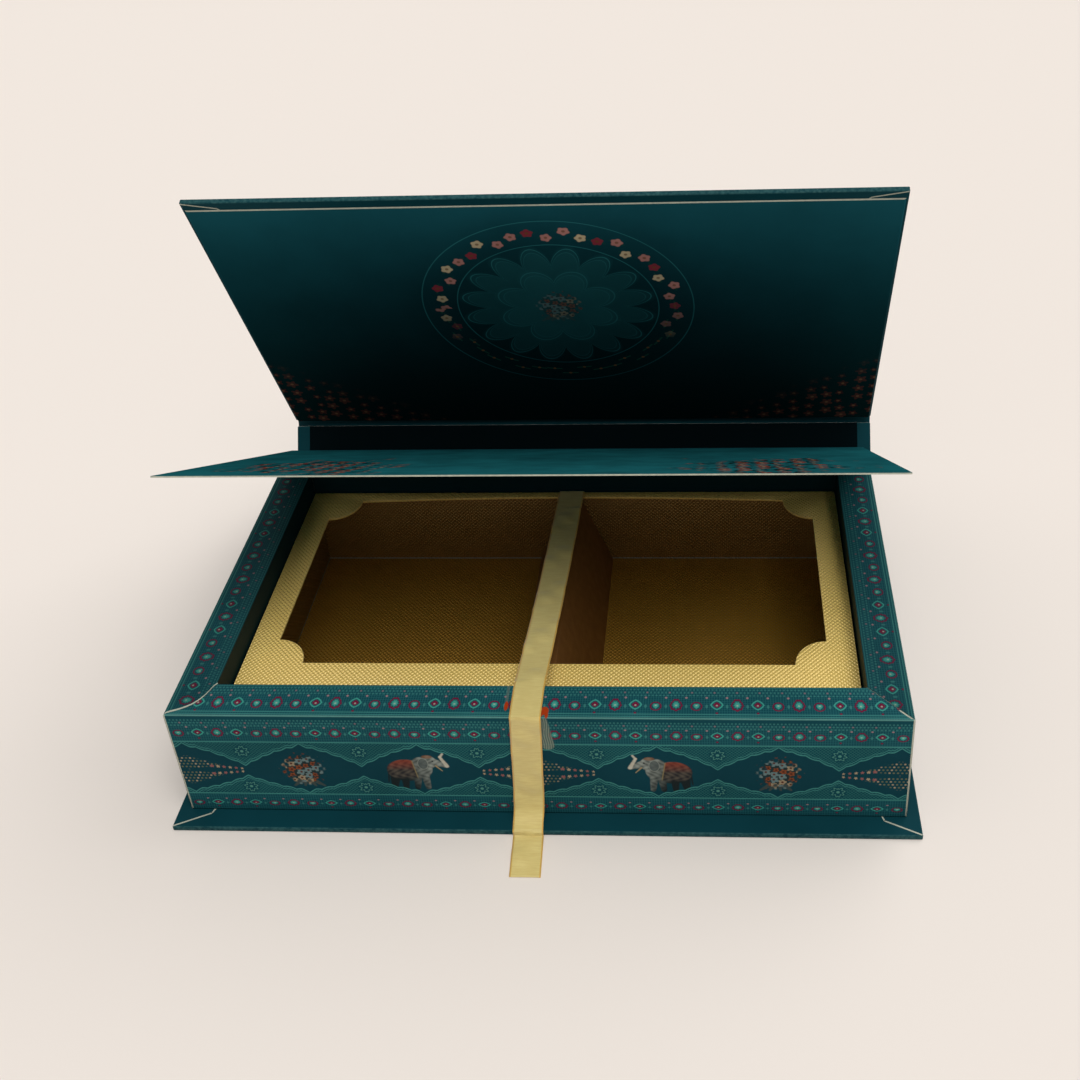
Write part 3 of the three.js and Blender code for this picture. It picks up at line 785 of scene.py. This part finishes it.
TRAY_LOW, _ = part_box("front_wrap")
_, TRAY_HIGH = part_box("rear_wrap")
RIM_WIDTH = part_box("front_wrap")[1].y - TRAY_LOW.y
TRAY_WALL = TRAY_HIGH.z - TRAY_LOW.z


def print_fields(tree):
    """The print's own coordinates on a sheet, in millimetres."""
    node = tree.nodes.new("ShaderNodeSeparateXYZ")
    tree.links.new(tree.nodes.new("ShaderNodeUVMap").outputs["UV"], node.inputs["Vector"])
    return Field(tree, node.outputs["X"]) * 1000.0, Field(tree, node.outputs["Y"]) * 1000.0


# The front sheet alone has the knot, and the others carry painted shade: a darker coat over their print.
printed_paper, tree, shader = surface("printed_paper", Specular_IOR_Level=0.02)
along, up = print_fields(tree)
colour, fold_line = use_group(
    tree, side_print, Along=along, Up=up, Wall=TRAY_WALL * 1000.0, Rim=RIM_WIDTH * 1000.0)
knotted, = use_group(tree, tassel, X=along, Y=up - TRAY_WALL * 1000.0, Ground=colour)
front_print = attribute(tree, "front_print")
colour = layered(colour, (SIDE_PAINTED_SHADE_INK, (1.0 - front_print) * SIDE_PAINTED_SHADE), (knotted, front_print))
finish_print(tree, shader, colour, fold_line)


def map_print(shape, place):
    """Writes a print's own coordinates, in metres, to the sheet's UV map."""
    layer = shape.loops.layers.uv.new("print")
    for face in shape.faces:
        for loop in face.loops:
            loop[layer].uv = place(loop.vert.co)


def tray_side(side, turn, bulges, pale_walls, pale_mitres):
    """One printed sheet, drawn along X with its outer face on y = 0, then turned to its side."""
    low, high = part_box(f"{side}_wrap")
    half = max(high.x - low.x, high.y - low.y) / 2
    shape = bmesh.new()
    section = ((half, 0.0, low.z), (half, 0.0, high.z))
    section += ((half - RIM_WIDTH, RIM_WIDTH, high.z), (half - RIM_WIDTH, RIM_WIDTH, low.z))
    ends = [[shape.verts.new((hand * x, y, z)) for x, y, z in section] for hand in (-1, 1)]
    for i in range(3):
        shape.faces.new((ends[0][i], ends[1][i], ends[1][i + 1], ends[0][i + 1]))
    mitres = [shape.edges.get(end[1:3]) for end in ends]
    bmesh.ops.subdivide_edges(shape, edges=mitres, cuts=MITRE_CUTS)
    border = cut_border(shape)
    for vert in shape.verts:
        vert.co.y = min(max(vert.co.y, 0.0), RIM_WIDTH)
        hand = math.copysign(1, vert.co.x)
        share = (vert.co.y - LAP_START) / (RIM_WIDTH - 2 * LAP_START)
        bulge = bulges.get(hand, 0.0) * math.sin(math.pi * min(max(share, 0.0), 1.0))
        vert.co += Vector((hand, 1.0, 0.0)) * bulge / math.sqrt(2)
    for face in border:
        centre = face.calc_center_median()
        hand = math.copysign(1, centre.x)
        on_wall = centre.y < CUT_WIDTH / 2 and centre.z > low.z + CUT_WIDTH
        on_mitre = CUT_WIDTH / 2 < centre.y < RIM_WIDTH * pale_mitres.get(hand, 0.0) - CUT_WIDTH / 2
        face.material_index = int(on_mitre or on_wall and hand in pale_walls)
    folds = [
        edge for edge in shape.edges
        if all(abs(v.co.z - high.z) < NEAR for v in edge.verts)
        and any(all(abs(v.co.y - y) < NEAR for v in edge.verts) for y in (0.0, RIM_WIDTH))
    ]
    round_edges(shape, folds, TRAY_FOLD, 4)

    def print_place(point):
        if point.y > RIM_WIDTH - TRAY_FOLD:
            return point.x, TRAY_WALL + RIM_WIDTH + high.z - point.z
        return point.x, point.z - low.z + point.y

    map_print(shape, print_place)
    front_print = shape.verts.layers.float.new("front_print")
    for vert in shape.verts:
        vert[front_print] = float(side == "front")
    stand = {"front": (0, low.y), "rear": (0, high.y), "left": (low.x, 0), "right": (high.x, 0)}[side]
    shape.transform(Matrix.Translation((*stand, 0.0)) @ Matrix.Rotation(turn, 4, "Z"))
    piece = make_piece(
        f"{side}_sheet", shape, (printed_paper, cut_paper), "teal_print", f"{side}_wrap", body="base")
    thicken(piece, PAPER)


tray_side("front", 0.0, {-1: -LAP_BULGE}, (-1, 1), {1: 0.3})
tray_side("right", math.pi / 2, {}, (), {})
tray_side("rear", math.pi, {}, (), {})
tray_side("left", -math.pi / 2, {1: LAP_BULGE}, (), {1: 1.0})

# Leaf: one glossy printed card over the whole tray, folded at its back edge on a tab that is glued to
# the tray. Its cut edges show the white card, and a spray of small red flowers lies near each front corner.
LEAF_INK = "1B6167"
LEAF_CLOUD_INK = "0D3036"
FOLIAGE_INK = "0A1E1F"
PETAL_INK = "7A3A2C"
PETAL_SHADE_INK = "4E201C"
STAMEN_INK = "8F8262"
LEAF_CORNER = 0.0015
LEAF_FOLD_RADIUS = 0.00038
FLOWER_PITCH = 8.0
CORNER_SPRAY = ((50.0, 46.0), (30.0, 40.0))


def joint_place(name):
    """A hinge's point, and how far it stands open at rest."""
    joint = next(j for j in frame["joints"] if j["name"] == name)
    return Vector(joint["pos_m"]), -math.radians(joint["range_deg"][0])


def box_in(place, node):
    """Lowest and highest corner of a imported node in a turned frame."""
    points = [place.inverted() @ v.co for v in frame["nodes"][node].data.vertices]
    return Vector(map(min, zip(*points))), Vector(map(max, zip(*points)))


leaf_card, tree, shader = surface("leaf_card", Specular_IOR_Level=0.0)
x, y = print_fields(tree)
leaf_hinge, leaf_turn = joint_place("leaf_hinge")
leaf_place = Matrix.Translation(leaf_hinge) @ Matrix.Rotation(-leaf_turn, 4, "X")
low, high = box_in(leaf_place, "leaf_card")
leaf_closed_z = leaf_place.translation.z + low.z
corner_x = high.x * 1000.0 - abs(x)
corner_y = y - low.y * 1000.0
ragged = (noise(tree, object_place(tree), 45.0) - 0.5) * 2.4
spray = inside(oval(corner_x, corner_y, *CORNER_SPRAY) + ragged, 0.5)
petals, hearts, tone = use_group(tree, flowers, X=corner_x, Y=corner_y, Pitch=FLOWER_PITCH, Size=2.6)
cloud = noise(tree, object_place(tree), 60.0)
foliage = inside(0.52 - noise(tree, object_place(tree), 260.0), 0.1)
colour = layered(
    LEAF_INK,
    (LEAF_CLOUD_INK, inside(cloud - 0.5, 0.5) * 0.5),
    (FOLIAGE_INK, foliage * spray),
    (painted(PETAL_SHADE_INK, PETAL_INK, tone), petals * spray),
    (STAMEN_INK, hearts * spray),
)
finish_print(tree, shader, colour)

shape = block(low, high)
corners = [
    edge for edge in shape.edges
    if all(v.co.y < low.y + LEAF_CORNER for v in edge.verts)
    and abs(edge.verts[0].co.x - edge.verts[1].co.x) < LEAF_CORNER
]
round_edges(shape, corners, LEAF_CORNER, 5)
for face in shape.faces:
    face.material_index = int(abs(face.normal.z) < 0.5)
map_print(shape, lambda point: point.xy)
shape.transform(leaf_place)
make_piece("leaf", shape, (leaf_card, cut_paper), "leaf_paper", "leaf_card", body="leaf")

shape = bmesh.new()
bmesh.ops.create_cone(
    shape, segments=12, radius1=LEAF_FOLD_RADIUS, radius2=LEAF_FOLD_RADIUS, depth=high.x - low.x,
    cap_ends=True)
shape.transform(Matrix.Translation(leaf_place.translation) @ Matrix.Rotation(math.pi / 2, 4, "Y"))
make_piece("leaf_fold", shape, (teal_paper,), "leaf_paper", body="base")
dress(teal_paper, "leaf_tab")

# Gold insert: a tray of foil-faced card with a fine diamond emboss. A platform with one large window,
# bitten by round lobes at its corners, lies on four walls, and a folded brown tent parts the space below.
FOIL_INK = "FFDC7A"
FOIL_EDGE_HIGHLIGHT_INK = "FFF4CC"
# The floor and wall inks are darker copies of the foil: painted shade under the platform.
FOIL_FLOOR_SHADE_INK = "B4862F"
FOIL_WALL_SHADE_INK = "806A3A"
FOIL_HOLLOW_SHADE_INK = "8A5E22"
WALL_FOOT_INK = "9AA8AE"
WALL_FOOT = 0.9
EMBOSS_PITCH = 2.1
EMBOSS_DEPTH = 0.00036
WINDOW_SIDE = 0.0122
WINDOW_FRONT = 0.0234
WINDOW_REAR = 0.0068
WINDOW_BOW = 0.003
WINDOW_STEPS = 24
LOBE = 0.014
LOBE_STEPS = 20
CARD_EDGE = 0.0003

diamond_emboss, (first, second), emboss_out = effect_group(
    "diamond_emboss", {"First": "Float", "Second": "Float"}, {"Height": "Float"})
turn = math.pi / EMBOSS_PITCH
weave_a = ((first + second) * turn).math("SINE")
weave_b = ((first - second) * turn).math("SINE")
feed(diamond_emboss, abs(weave_a * weave_b), emboss_out.inputs["Height"])


def gold_card(name, first, second, foil, metallic, hollow_shade, gloss=0.5, foot=None):
    """Embossed gold foil card. Its lattice lies along two of the axes, and a wall has a grey foot."""
    material, tree, shader = surface(name, Metallic=metallic, Specular_IOR_Level=gloss)
    split = tree.nodes.new("ShaderNodeSeparateXYZ")
    place = object_place(tree)
    feed(tree, place, split.inputs["Vector"])
    axes = [Field(tree, split.outputs[axis]) * 1000.0 for axis in (first, second)]
    height, = use_group(tree, diamond_emboss, First=axes[0], Second=axes[1])
    cloud = noise(tree, place, 28.0)
    # Painted shade: a darker ink in the emboss hollows, mixed with a cloudy tone.
    colour = painted(foil, FOIL_HOLLOW_SHADE_INK, (cloud * 0.3 - height + 0.7) * hollow_shade)
    if foot:
        colour = painted(colour, WALL_FOOT_INK, inside(axes[1] - foot, 0.3))
    feed(tree, colour, shader.inputs["Base Color"])
    feed(tree, noise(tree, place, 140.0) * 0.14 + 0.3, shader.inputs["Roughness"])
    bump(tree, shader, height, EMBOSS_DEPTH)
    return material


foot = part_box("insert_floor")[1].z * 1000.0 + WALL_FOOT
gold_top = gold_card("gold_top", "X", "Y", FOIL_INK, 0.12, 0.18, 1.0)
# Painted shade: the floor and walls take the darker copies of the foil ink.
gold_floor = gold_card("gold_floor", "X", "Y", FOIL_FLOOR_SHADE_INK, 0.6, 0.3)
gold_long = gold_card("gold_long", "X", "Z", FOIL_WALL_SHADE_INK, 0.6, 0.4, foot=foot)
gold_short = gold_card("gold_short", "Y", "Z", FOIL_WALL_SHADE_INK, 0.6, 0.4, foot=foot)
# Painted highlight: the pressed card edges are coloured near white, mottled with the foil's own colour.
foil_edge, tree, shader = surface("foil_edge")
edge_mottle = noise(tree, object_place(tree), 300.0)
feed(tree, painted(FOIL_EDGE_HIGHLIGHT_INK, FOIL_INK, edge_mottle), shader.inputs["Base Color"])
feed(tree, edge_mottle * 0.2 + 0.25, shader.inputs["Roughness"])
dress(gold_floor, "insert_floor")
dress(gold_long, "insert_front_wall", "insert_rear_wall")
dress(gold_short, "insert_left_wall", "insert_right_wall")

low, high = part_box("gold_platform")
shape = bmesh.new()
window_low = Vector((low.x + WINDOW_SIDE, low.y + WINDOW_FRONT, high.z))
window_high = Vector((high.x - WINDOW_SIDE, high.y - WINDOW_REAR, high.z))
for x, y in itertools.product((window_low.x, window_high.x), (window_low.y, window_high.y)):
    start = shape.verts.new((x - math.copysign(LOBE, x), y, high.z))
    sweep = math.copysign(math.pi / 2, x * (y - (window_low.y + window_high.y) / 2))
    bmesh.ops.spin(
        shape, geom=[start], cent=(x, y, high.z), axis=(0, 0, 1), angle=sweep, steps=LOBE_STEPS,
        use_duplicate=False)


def join_ends(shape, start, end, steps=1, bow=0.0):
    """A straight or bowed edge between two points of a flat outline."""
    ends = [min(shape.verts, key=lambda v: (v.co - point).length) for point in (start, end)]
    edge = shape.edges.new(ends)
    if steps > 1:
        made = bmesh.ops.subdivide_edges(shape, edges=[edge], cuts=steps)
        for vert in [v for v in made["geom_inner"] if isinstance(v, bmesh.types.BMVert)]:
            share = (vert.co - start).length / (end - start).length
            vert.co.y += 4 * bow * share * (1 - share)


front_right = Vector((window_high.x, window_low.y, high.z))
rear_left = Vector((window_low.x, window_high.y, high.z))
lobe_x = Vector((LOBE, 0.0, 0.0))
lobe_y = Vector((0.0, LOBE, 0.0))
join_ends(shape, window_low + lobe_x, front_right - lobe_x)
join_ends(shape, window_low + lobe_y, rear_left - lobe_y)
join_ends(shape, front_right + lobe_y, window_high - lobe_y)
join_ends(shape, rear_left + lobe_x, window_high - lobe_x, WINDOW_STEPS, WINDOW_BOW)
border = [shape.verts.new((x, y, high.z)) for x, y in (
    (low.x, low.y), (high.x, low.y), (high.x, high.y), (low.x, high.y))]
for i in range(4):
    shape.edges.new((border[i], border[(i + 1) % 4]))
bmesh.ops.triangle_fill(shape, edges=shape.edges[:], use_beauty=True, use_dissolve=False)
bmesh.ops.recalc_face_normals(shape, faces=shape.faces[:])
if shape.faces[:][0].normal.z < 0:
    bmesh.ops.reverse_faces(shape, faces=shape.faces[:])
platform = make_piece(
    "gold_window", shape, (gold_top, foil_edge), "gold_card", "gold_platform", body="insert")
thicken(platform, high.z - low.z, 0)
edges = platform.modifiers.new("pressed_edge", "BEVEL")
edges.width = CARD_EDGE
edges.segments = 2
edges.limit_method = "ANGLE"
edges.material = 1

TENT_INK = "7C5220"
TENT_GRAIN_INK = "5F3C14"
brown_card, tree, shader = surface("brown_card", Metallic=0.35)
place = object_place(tree)
grain = noise(tree, place, 240.0)
feed(tree, painted(TENT_INK, TENT_GRAIN_INK, grain), shader.inputs["Base Color"])
feed(tree, grain * 0.2 + 0.42, shader.inputs["Roughness"])
bump(tree, shader, noise(tree, place, 1500.0), 0.00003)
shape = bmesh.new()
shape.from_mesh(frame["nodes"]["tent_divider"].data)
bmesh.ops.remove_doubles(shape, verts=shape.verts, dist=NEAR)
bmesh.ops.dissolve_limit(shape, angle_limit=math.radians(1), verts=shape.verts, edges=shape.edges)
creases = [e for e in shape.edges if e.is_manifold and e.calc_face_angle() > math.radians(30)]
round_edges(shape, creases, CARD_EDGE, 2)
make_piece("tent", shape, (brown_card,), "brown_card", "tent_divider", body="insert")

# Lift ribbon: half-inch gold taffeta with satin selvedges. It is glued down behind the insert, comes up
# through the slot, runs to the front rim, folds over it and hangs down to lie before the base.
RIBBON_WIDTH = 0.0127
RIBBON_THICKNESS = 0.0003
RIBBON_CLEAR = 0.0004
RIBBON_BEND = 0.0006
RIBBON_SAG = 0.0025
RIBBON_SWING = 0.015
RIBBON_STEPS = 320
CLOTH_SHARE = 0.7
CRINKLE = 0.00045
CROWN = 0.0002
SMOOTH_SHARE = 0.2
RIB_PITCH = 0.42
THREAD_PITCH = 0.3
SELVEDGE = 0.6
TAFFETA_INK = "DFCE86"
TAFFETA_SHADE_INK = "CBB36A"
SELVEDGE_INK = "D9AC4E"
DRIFTS = ((0.0, 0.0011), (0.66, -0.0032), (0.72, -0.0030), (0.91, -0.0056), (1.0, -0.0044))

low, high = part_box("lift_ribbon")
platform_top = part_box("gold_platform")[1].z + RIBBON_CLEAR
rim_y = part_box("front_wrap")[1].y
rim_top = TRAY_HIGH.z + RIBBON_CLEAR
hang_y = TRAY_LOW.y - RIBBON_CLEAR
lip_low, lip_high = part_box("base_wrap")
slot_y = high.y - RIBBON_THICKNESS / 2
ribbon_points = [vert.co for vert in frame["nodes"]["lift_ribbon"].data.vertices]
glued_z = min(point.z for point in ribbon_points if point.y > high.y - 2 * RIBBON_THICKNESS)


def arc(centre, radius, start, end, steps=8):
    """Points of a round bend in the ribbon's run, as Y and Z."""
    turns = [start + (end - start) * i / steps for i in range(steps + 1)]
    return [Vector((centre[0] + radius * math.cos(t), centre[1] + radius * math.sin(t))) for t in turns]


def curve(start, pull, end, steps=40):
    """Points of a slack stretch that is pulled towards one point."""
    shares = [i / steps for i in range(steps + 1)]
    return [start * (1 - t) ** 2 + pull * (2 * t * (1 - t)) + end * t ** 2 for t in shares]


QUARTER = math.pi / 2
lip_top = lip_high.z + RIBBON_CLEAR
floor_z = RIBBON_THICKNESS / 2
run = [Vector((slot_y, glued_z))]
run += arc((slot_y - RIBBON_BEND, platform_top - RIBBON_BEND), RIBBON_BEND, 0.0, QUARTER)
slack = Vector((0.0, (platform_top + rim_top) / 2 - 2 * RIBBON_SAG))
run += curve(run[-1], slack, Vector((rim_y + RIBBON_BEND, rim_top)))
run += arc((hang_y + RIBBON_BEND, rim_top - RIBBON_BEND), RIBBON_BEND, QUARTER, 2 * QUARTER)
swing = ((hang_y, lip_top + RIBBON_SWING), (hang_y, lip_top), (lip_low.y, lip_top))
run += curve(*map(Vector, swing))
run += arc((lip_low.y, lip_high.z), RIBBON_CLEAR, QUARTER, 2 * QUARTER)
run += arc((run[-1].x - RIBBON_BEND, floor_z + RIBBON_BEND), RIBBON_BEND, 0.0, -QUARTER)
run.append(Vector((low.y, floor_z)))
spans = [(b - a).length for a, b in zip(run, run[1:])]
ribbon_length = sum(spans)


def run_at(distance):
    """The point and direction of the ribbon's run at a distance from its glued end."""
    for start, end, span in zip(run, run[1:], spans):
        if distance <= span and span > 1e-9:
            return start.lerp(end, distance / span), (end - start).normalized()
        distance -= span
    return run[-1], (run[-1] - run[-2]).normalized()


def drift_at(share):
    """How far the ribbon lies to the side at a share of its length."""
    for (from_share, from_x), (to_share, to_x) in zip(DRIFTS, DRIFTS[1:]):
        if share <= to_share:
            return from_x + (to_x - from_x) * (share - from_share) / (to_share - from_share)
    return DRIFTS[-1][1]


shape = bmesh.new()
bmesh.ops.create_grid(shape, x_segments=12, y_segments=RIBBON_STEPS, size=0.5)
layer = shape.loops.layers.uv.new("print")
for face in shape.faces:
    for loop in face.loops:
        loop[layer].uv = (loop.vert.co.x * RIBBON_WIDTH, (loop.vert.co.y + 0.5) * ribbon_length)
for vert in shape.verts:
    across = vert.co.x
    share = vert.co.y + 0.5
    point, direction = run_at(share * ribbon_length)
    crinkle = math.sin(share * 61 + across * 3.1) + math.sin(share * 143 - across * 4.7) * 0.5
    lift = CRINKLE * max(0.0, crinkle) + CROWN * (1 - (2 * across) ** 2)
    lift = lift if share > SMOOTH_SHARE else 0.0
    vert.co = Vector((
        across * RIBBON_WIDTH + drift_at(share),
        point.x + direction.y * lift,
        min(point.y - direction.x * lift, leaf_closed_z - RIBBON_THICKNESS),
    ))
ribbon_cloth, tree, shader = surface("ribbon_cloth", Sheen_Weight=0.5, Sheen_Roughness=0.4)
across, along = print_fields(tree)
ribs = (along * (2 * math.pi / RIB_PITCH)).math("SINE") * 0.5 + 0.5
threads = (across * (2 * math.pi / THREAD_PITCH)).math("SINE") * 0.5 + 0.5
slub = noise(tree, object_place(tree), 260.0)
weft_place = tree.nodes.new("ShaderNodeCombineXYZ")
feed(tree, across * 0.12, weft_place.inputs["X"])
feed(tree, along, weft_place.inputs["Y"])
weft = noise(tree, Field(tree, weft_place.outputs["Vector"]), 1.4)
woven = painted(TAFFETA_INK, TAFFETA_SHADE_INK, ribs * 0.2 + slub * 0.3 + weft * 1.2 - 0.4)
satin = inside(RIBBON_WIDTH * 500 - SELVEDGE - abs(across), 0.3)
feed(tree, painted(woven, SELVEDGE_INK, satin), shader.inputs["Base Color"])
feed(tree, 0.55 - satin * 0.2, shader.inputs["Roughness"])
bump(tree, shader, ribs * 0.6 + threads * 0.4, 0.00005)
ribbon = make_piece("ribbon", shape, (ribbon_cloth,), "gold_ribbon", "lift_ribbon")
thicken(ribbon, RIBBON_THICKNESS * CLOTH_SHARE, 0)
ribbon.modifiers["paper"].offset = 0.0
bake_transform(ribbon)

# Paper hinges: the wrap runs on unboarded between the base and the spine, and between the spine and the
# lid. Each strip is a round fold, shaped for the covers' rest pose.
HINGE_STEPS = 14
spine_hinge, spine_turn = joint_place("spine_hinge")
lid_hinge, lid_turn = joint_place("lid_hinge")
cover_low, cover_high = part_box("base_wrap")
hinge_reach = spine_hinge.y - cover_high.y


def hinge_strip(name, node, pivot, turn, bend):
    """A strip that leaves one cover along its own +Y and curves up to the next."""
    radius = hinge_reach / math.tan(bend / 2)
    shape = bmesh.new()
    ends = [shape.verts.new((x, -hinge_reach, 0.0)) for x in (cover_low.x, cover_high.x)]
    edge = shape.edges.new(ends)
    bmesh.ops.spin(
        shape, geom=[*ends, edge], cent=(0.0, -hinge_reach, radius), axis=(1, 0, 0), angle=bend,
        steps=HINGE_STEPS, use_duplicate=False)
    place = Matrix.Translation(pivot) @ Matrix.Rotation(turn, 4, "X")
    shape.transform(place)
    strip = make_piece(name, shape, (teal_paper,), "teal_paper", node)
    thicken(strip, PAPER, 0)
    strip.modifiers["paper"].offset = 0.0
    far = Vector((0.0, hinge_reach * math.cos(bend), hinge_reach * math.sin(bend)))
    place @ Vector((0.0, -hinge_reach, 0.0))
    place @ far
    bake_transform(strip)


hinge_strip("lower_hinge", "lower_hinge_strip", spine_hinge, 0.0, QUARTER - spine_turn)
hinge_strip(
    "upper_hinge", "upper_hinge_strip", lid_hinge, QUARTER - spine_turn, QUARTER - lid_turn)

# Spine: a narrow boarded strip of the same wrap, lined on its inner side with dark paper that painted shade
# makes near black.
spine_place = Matrix.Translation(spine_hinge) @ Matrix.Rotation(-spine_turn, 4, "X")
shape = folded_plate(*box_in(spine_place, "spine_wrap"))
shape.transform(spine_place)
make_piece("spine_cover", shape, (teal_paper, cut_paper), "teal_paper", "spine_wrap", body="spine")
dress(dark_shaded_paper, "spine_lining")

# Lid: a board in the same plain wrap, turned in over its inner face with mitred corners, and lined with
# one large printed sheet: a lotus wheel in shades of teal inside a wreath of small pale blossoms.
# The lining and its lines darken towards the foot: partly print and partly painted shade.
LINING_TOP_INK = "19535E"
LINING_FOOT_SHADE_INK = "041B1D"
LINING_SHADE_FADE = 2.1
LID_MITRE = ((0.0, 0.0), (0.015, 0.0032), (0.0165, 0.0046))
WHEEL_HEIGHT = 104.0
WHEEL_PETALS = 16
WREATH_RADIUS = 55.0
WREATH_COUNT = 44
WHEEL_ROUNDS = ((32.0, 13.0, WHEEL_PETALS), (19.0, 10.0, WHEEL_PETALS / 2))
WHEEL_RINGS = (64.0, 47.5)
WHEEL_TOP_INK = "2C7378"
WHEEL_FOOT_SHADE_INK = "0B333A"
WHEEL_SHADE_INK = "03161A"
VINE_INK = "1D4A3E"
PINK_BLOOM_INK = "B98078"
PALE_BLOOM_INK = "C9B592"
RED_BLOOM_INK = "8A3440"
BLOOM_HEART_INK = "6B4A2E"
DIM_PETAL_INK = "4E3028"
DIM_PETAL_SHADE_INK = "3E1A1B"
DIM_HEART_INK = "6E553E"
FOLIAGE_REACH = 62.0

lid_place = Matrix.Translation(lid_hinge) @ Matrix.Rotation(-spine_turn - lid_turn, 4, "X")
low, high = box_in(lid_place, "lid_wrap")
shape = folded_plate(low, high)
cut_mitres(shape, low, high, LID_MITRE, low.z)
shape.transform(lid_place)
make_piece("lid_cover", shape, (teal_paper, cut_paper), "teal_paper", "lid_wrap", body="lid")

lid_lining, tree, shader = surface("lid_lining", Specular_IOR_Level=0.0)
x, y = print_fields(tree)
low, high = box_in(lid_place, "lid_lining")
lining_depth = (high.y - low.y) * 1000.0
# Partly print and partly painted shade: darker towards the foot, and a soft dark disc over the wheel.
rise = y / lining_depth
line_ink = painted(WHEEL_FOOT_SHADE_INK, WHEEL_TOP_INK, rise)
wheel_y = y - WHEEL_HEIGHT
wheel_size = radius_of(x, wheel_y)
wheel_turn = wheel_y.math("ARCTAN2", x)
colour = layered(
    LINING_FOOT_SHADE_INK,
    (LINING_TOP_INK, rise ** LINING_SHADE_FADE),
    (WHEEL_SHADE_INK, inside(wheel_size - 62.0, 30.0) * 0.35),
)
for size, depth, petals in WHEEL_ROUNDS:
    petal_edge = wheel_size - (abs((wheel_turn * (petals / 2)).math("SINE")) ** 0.7 * depth + size)
    colour = layered(
        colour,
        (line_ink, inside(petal_edge, 6.0) * 0.35),
        (line_ink, inside(ring(petal_edge, 0.7))),
        (line_ink, inside(ring(petal_edge + 2.6, 0.4)) * 0.7),
    )
for size in WHEEL_RINGS:
    colour = painted(colour, line_ink, inside(ring(wheel_size - size, 0.5)))
heart, = use_group(tree, posy, X=x * 0.7, Y=wheel_y * 0.7, Ground=colour)
colour = painted(colour, heart, rise)
steps = wheel_turn * (WREATH_COUNT / (2 * math.pi))
step = steps.math("ROUND")
wave = (step * 2.4).math("SINE") * 2.6
bloom_x = (steps - step) * (2 * math.pi * WREATH_RADIUS / WREATH_COUNT)
bloom_y = wheel_size - WREATH_RADIUS + wave
bloom_size = radius_of(bloom_x, bloom_y)
bloom_edge = (bloom_y.math("ARCTAN2", bloom_x) * 5.0 + step).math("SINE") * 0.28 + 2.5
bloom_ink = layered(
    PINK_BLOOM_INK,
    (PALE_BLOOM_INK, (step % 3).math("LESS_THAN", 0.5)),
    (RED_BLOOM_INK, (step % 4).math("LESS_THAN", 0.5)),
)
foliage_x = high.x * 1000.0 - abs(x)
petals, hearts, tone = use_group(tree, flowers, X=foliage_x, Y=y, Pitch=FLOWER_PITCH, Size=2.8)
foliage = inside(foliage_x * 0.8 + y * 1.2 - FOLIAGE_REACH, 22.0)
colour = layered(
    colour,
    (VINE_INK, inside(ring(bloom_y, 0.8)) * 0.7),
    (bloom_ink, inside(bloom_size - bloom_edge, 0.5) * inside(-wheel_y - 6.0, 44.0)),
    (BLOOM_HEART_INK, inside(bloom_size - 0.8, 0.4) * 0.7),
    (painted(DIM_PETAL_SHADE_INK, DIM_PETAL_INK, tone), petals * foliage * 0.6),
    (DIM_HEART_INK, hearts * foliage * 0.5),
)
finish_print(tree, shader, colour)

shape = bmesh.new()
corners = [(low.x, high.y), (low.x, low.y), (high.x, low.y), (high.x, high.y)]
shape.faces.new([shape.verts.new((x, y, low.z)) for x, y in reversed(corners)])
shape.normal_update()
if shape.faces[:][0].normal.z > 0:
    bmesh.ops.reverse_faces(shape, faces=shape.faces[:])
for face in cut_border(shape):
    face.material_index = int(face.calc_center_median().y < low.y + CUT_WIDTH)
for vert in [v for v in shape.verts if v.co.y < low.y + CUT_WIDTH / 2]:
    vert.co.z += PAPER * 0.8
map_print(shape, lambda point: (point.x, high.y - point.y))
shape.transform(lid_place)
lining = make_piece("lid_sheet", shape, (lid_lining, cut_paper), "teal_print", "lid_lining", body="lid")
thicken(lining, PAPER)
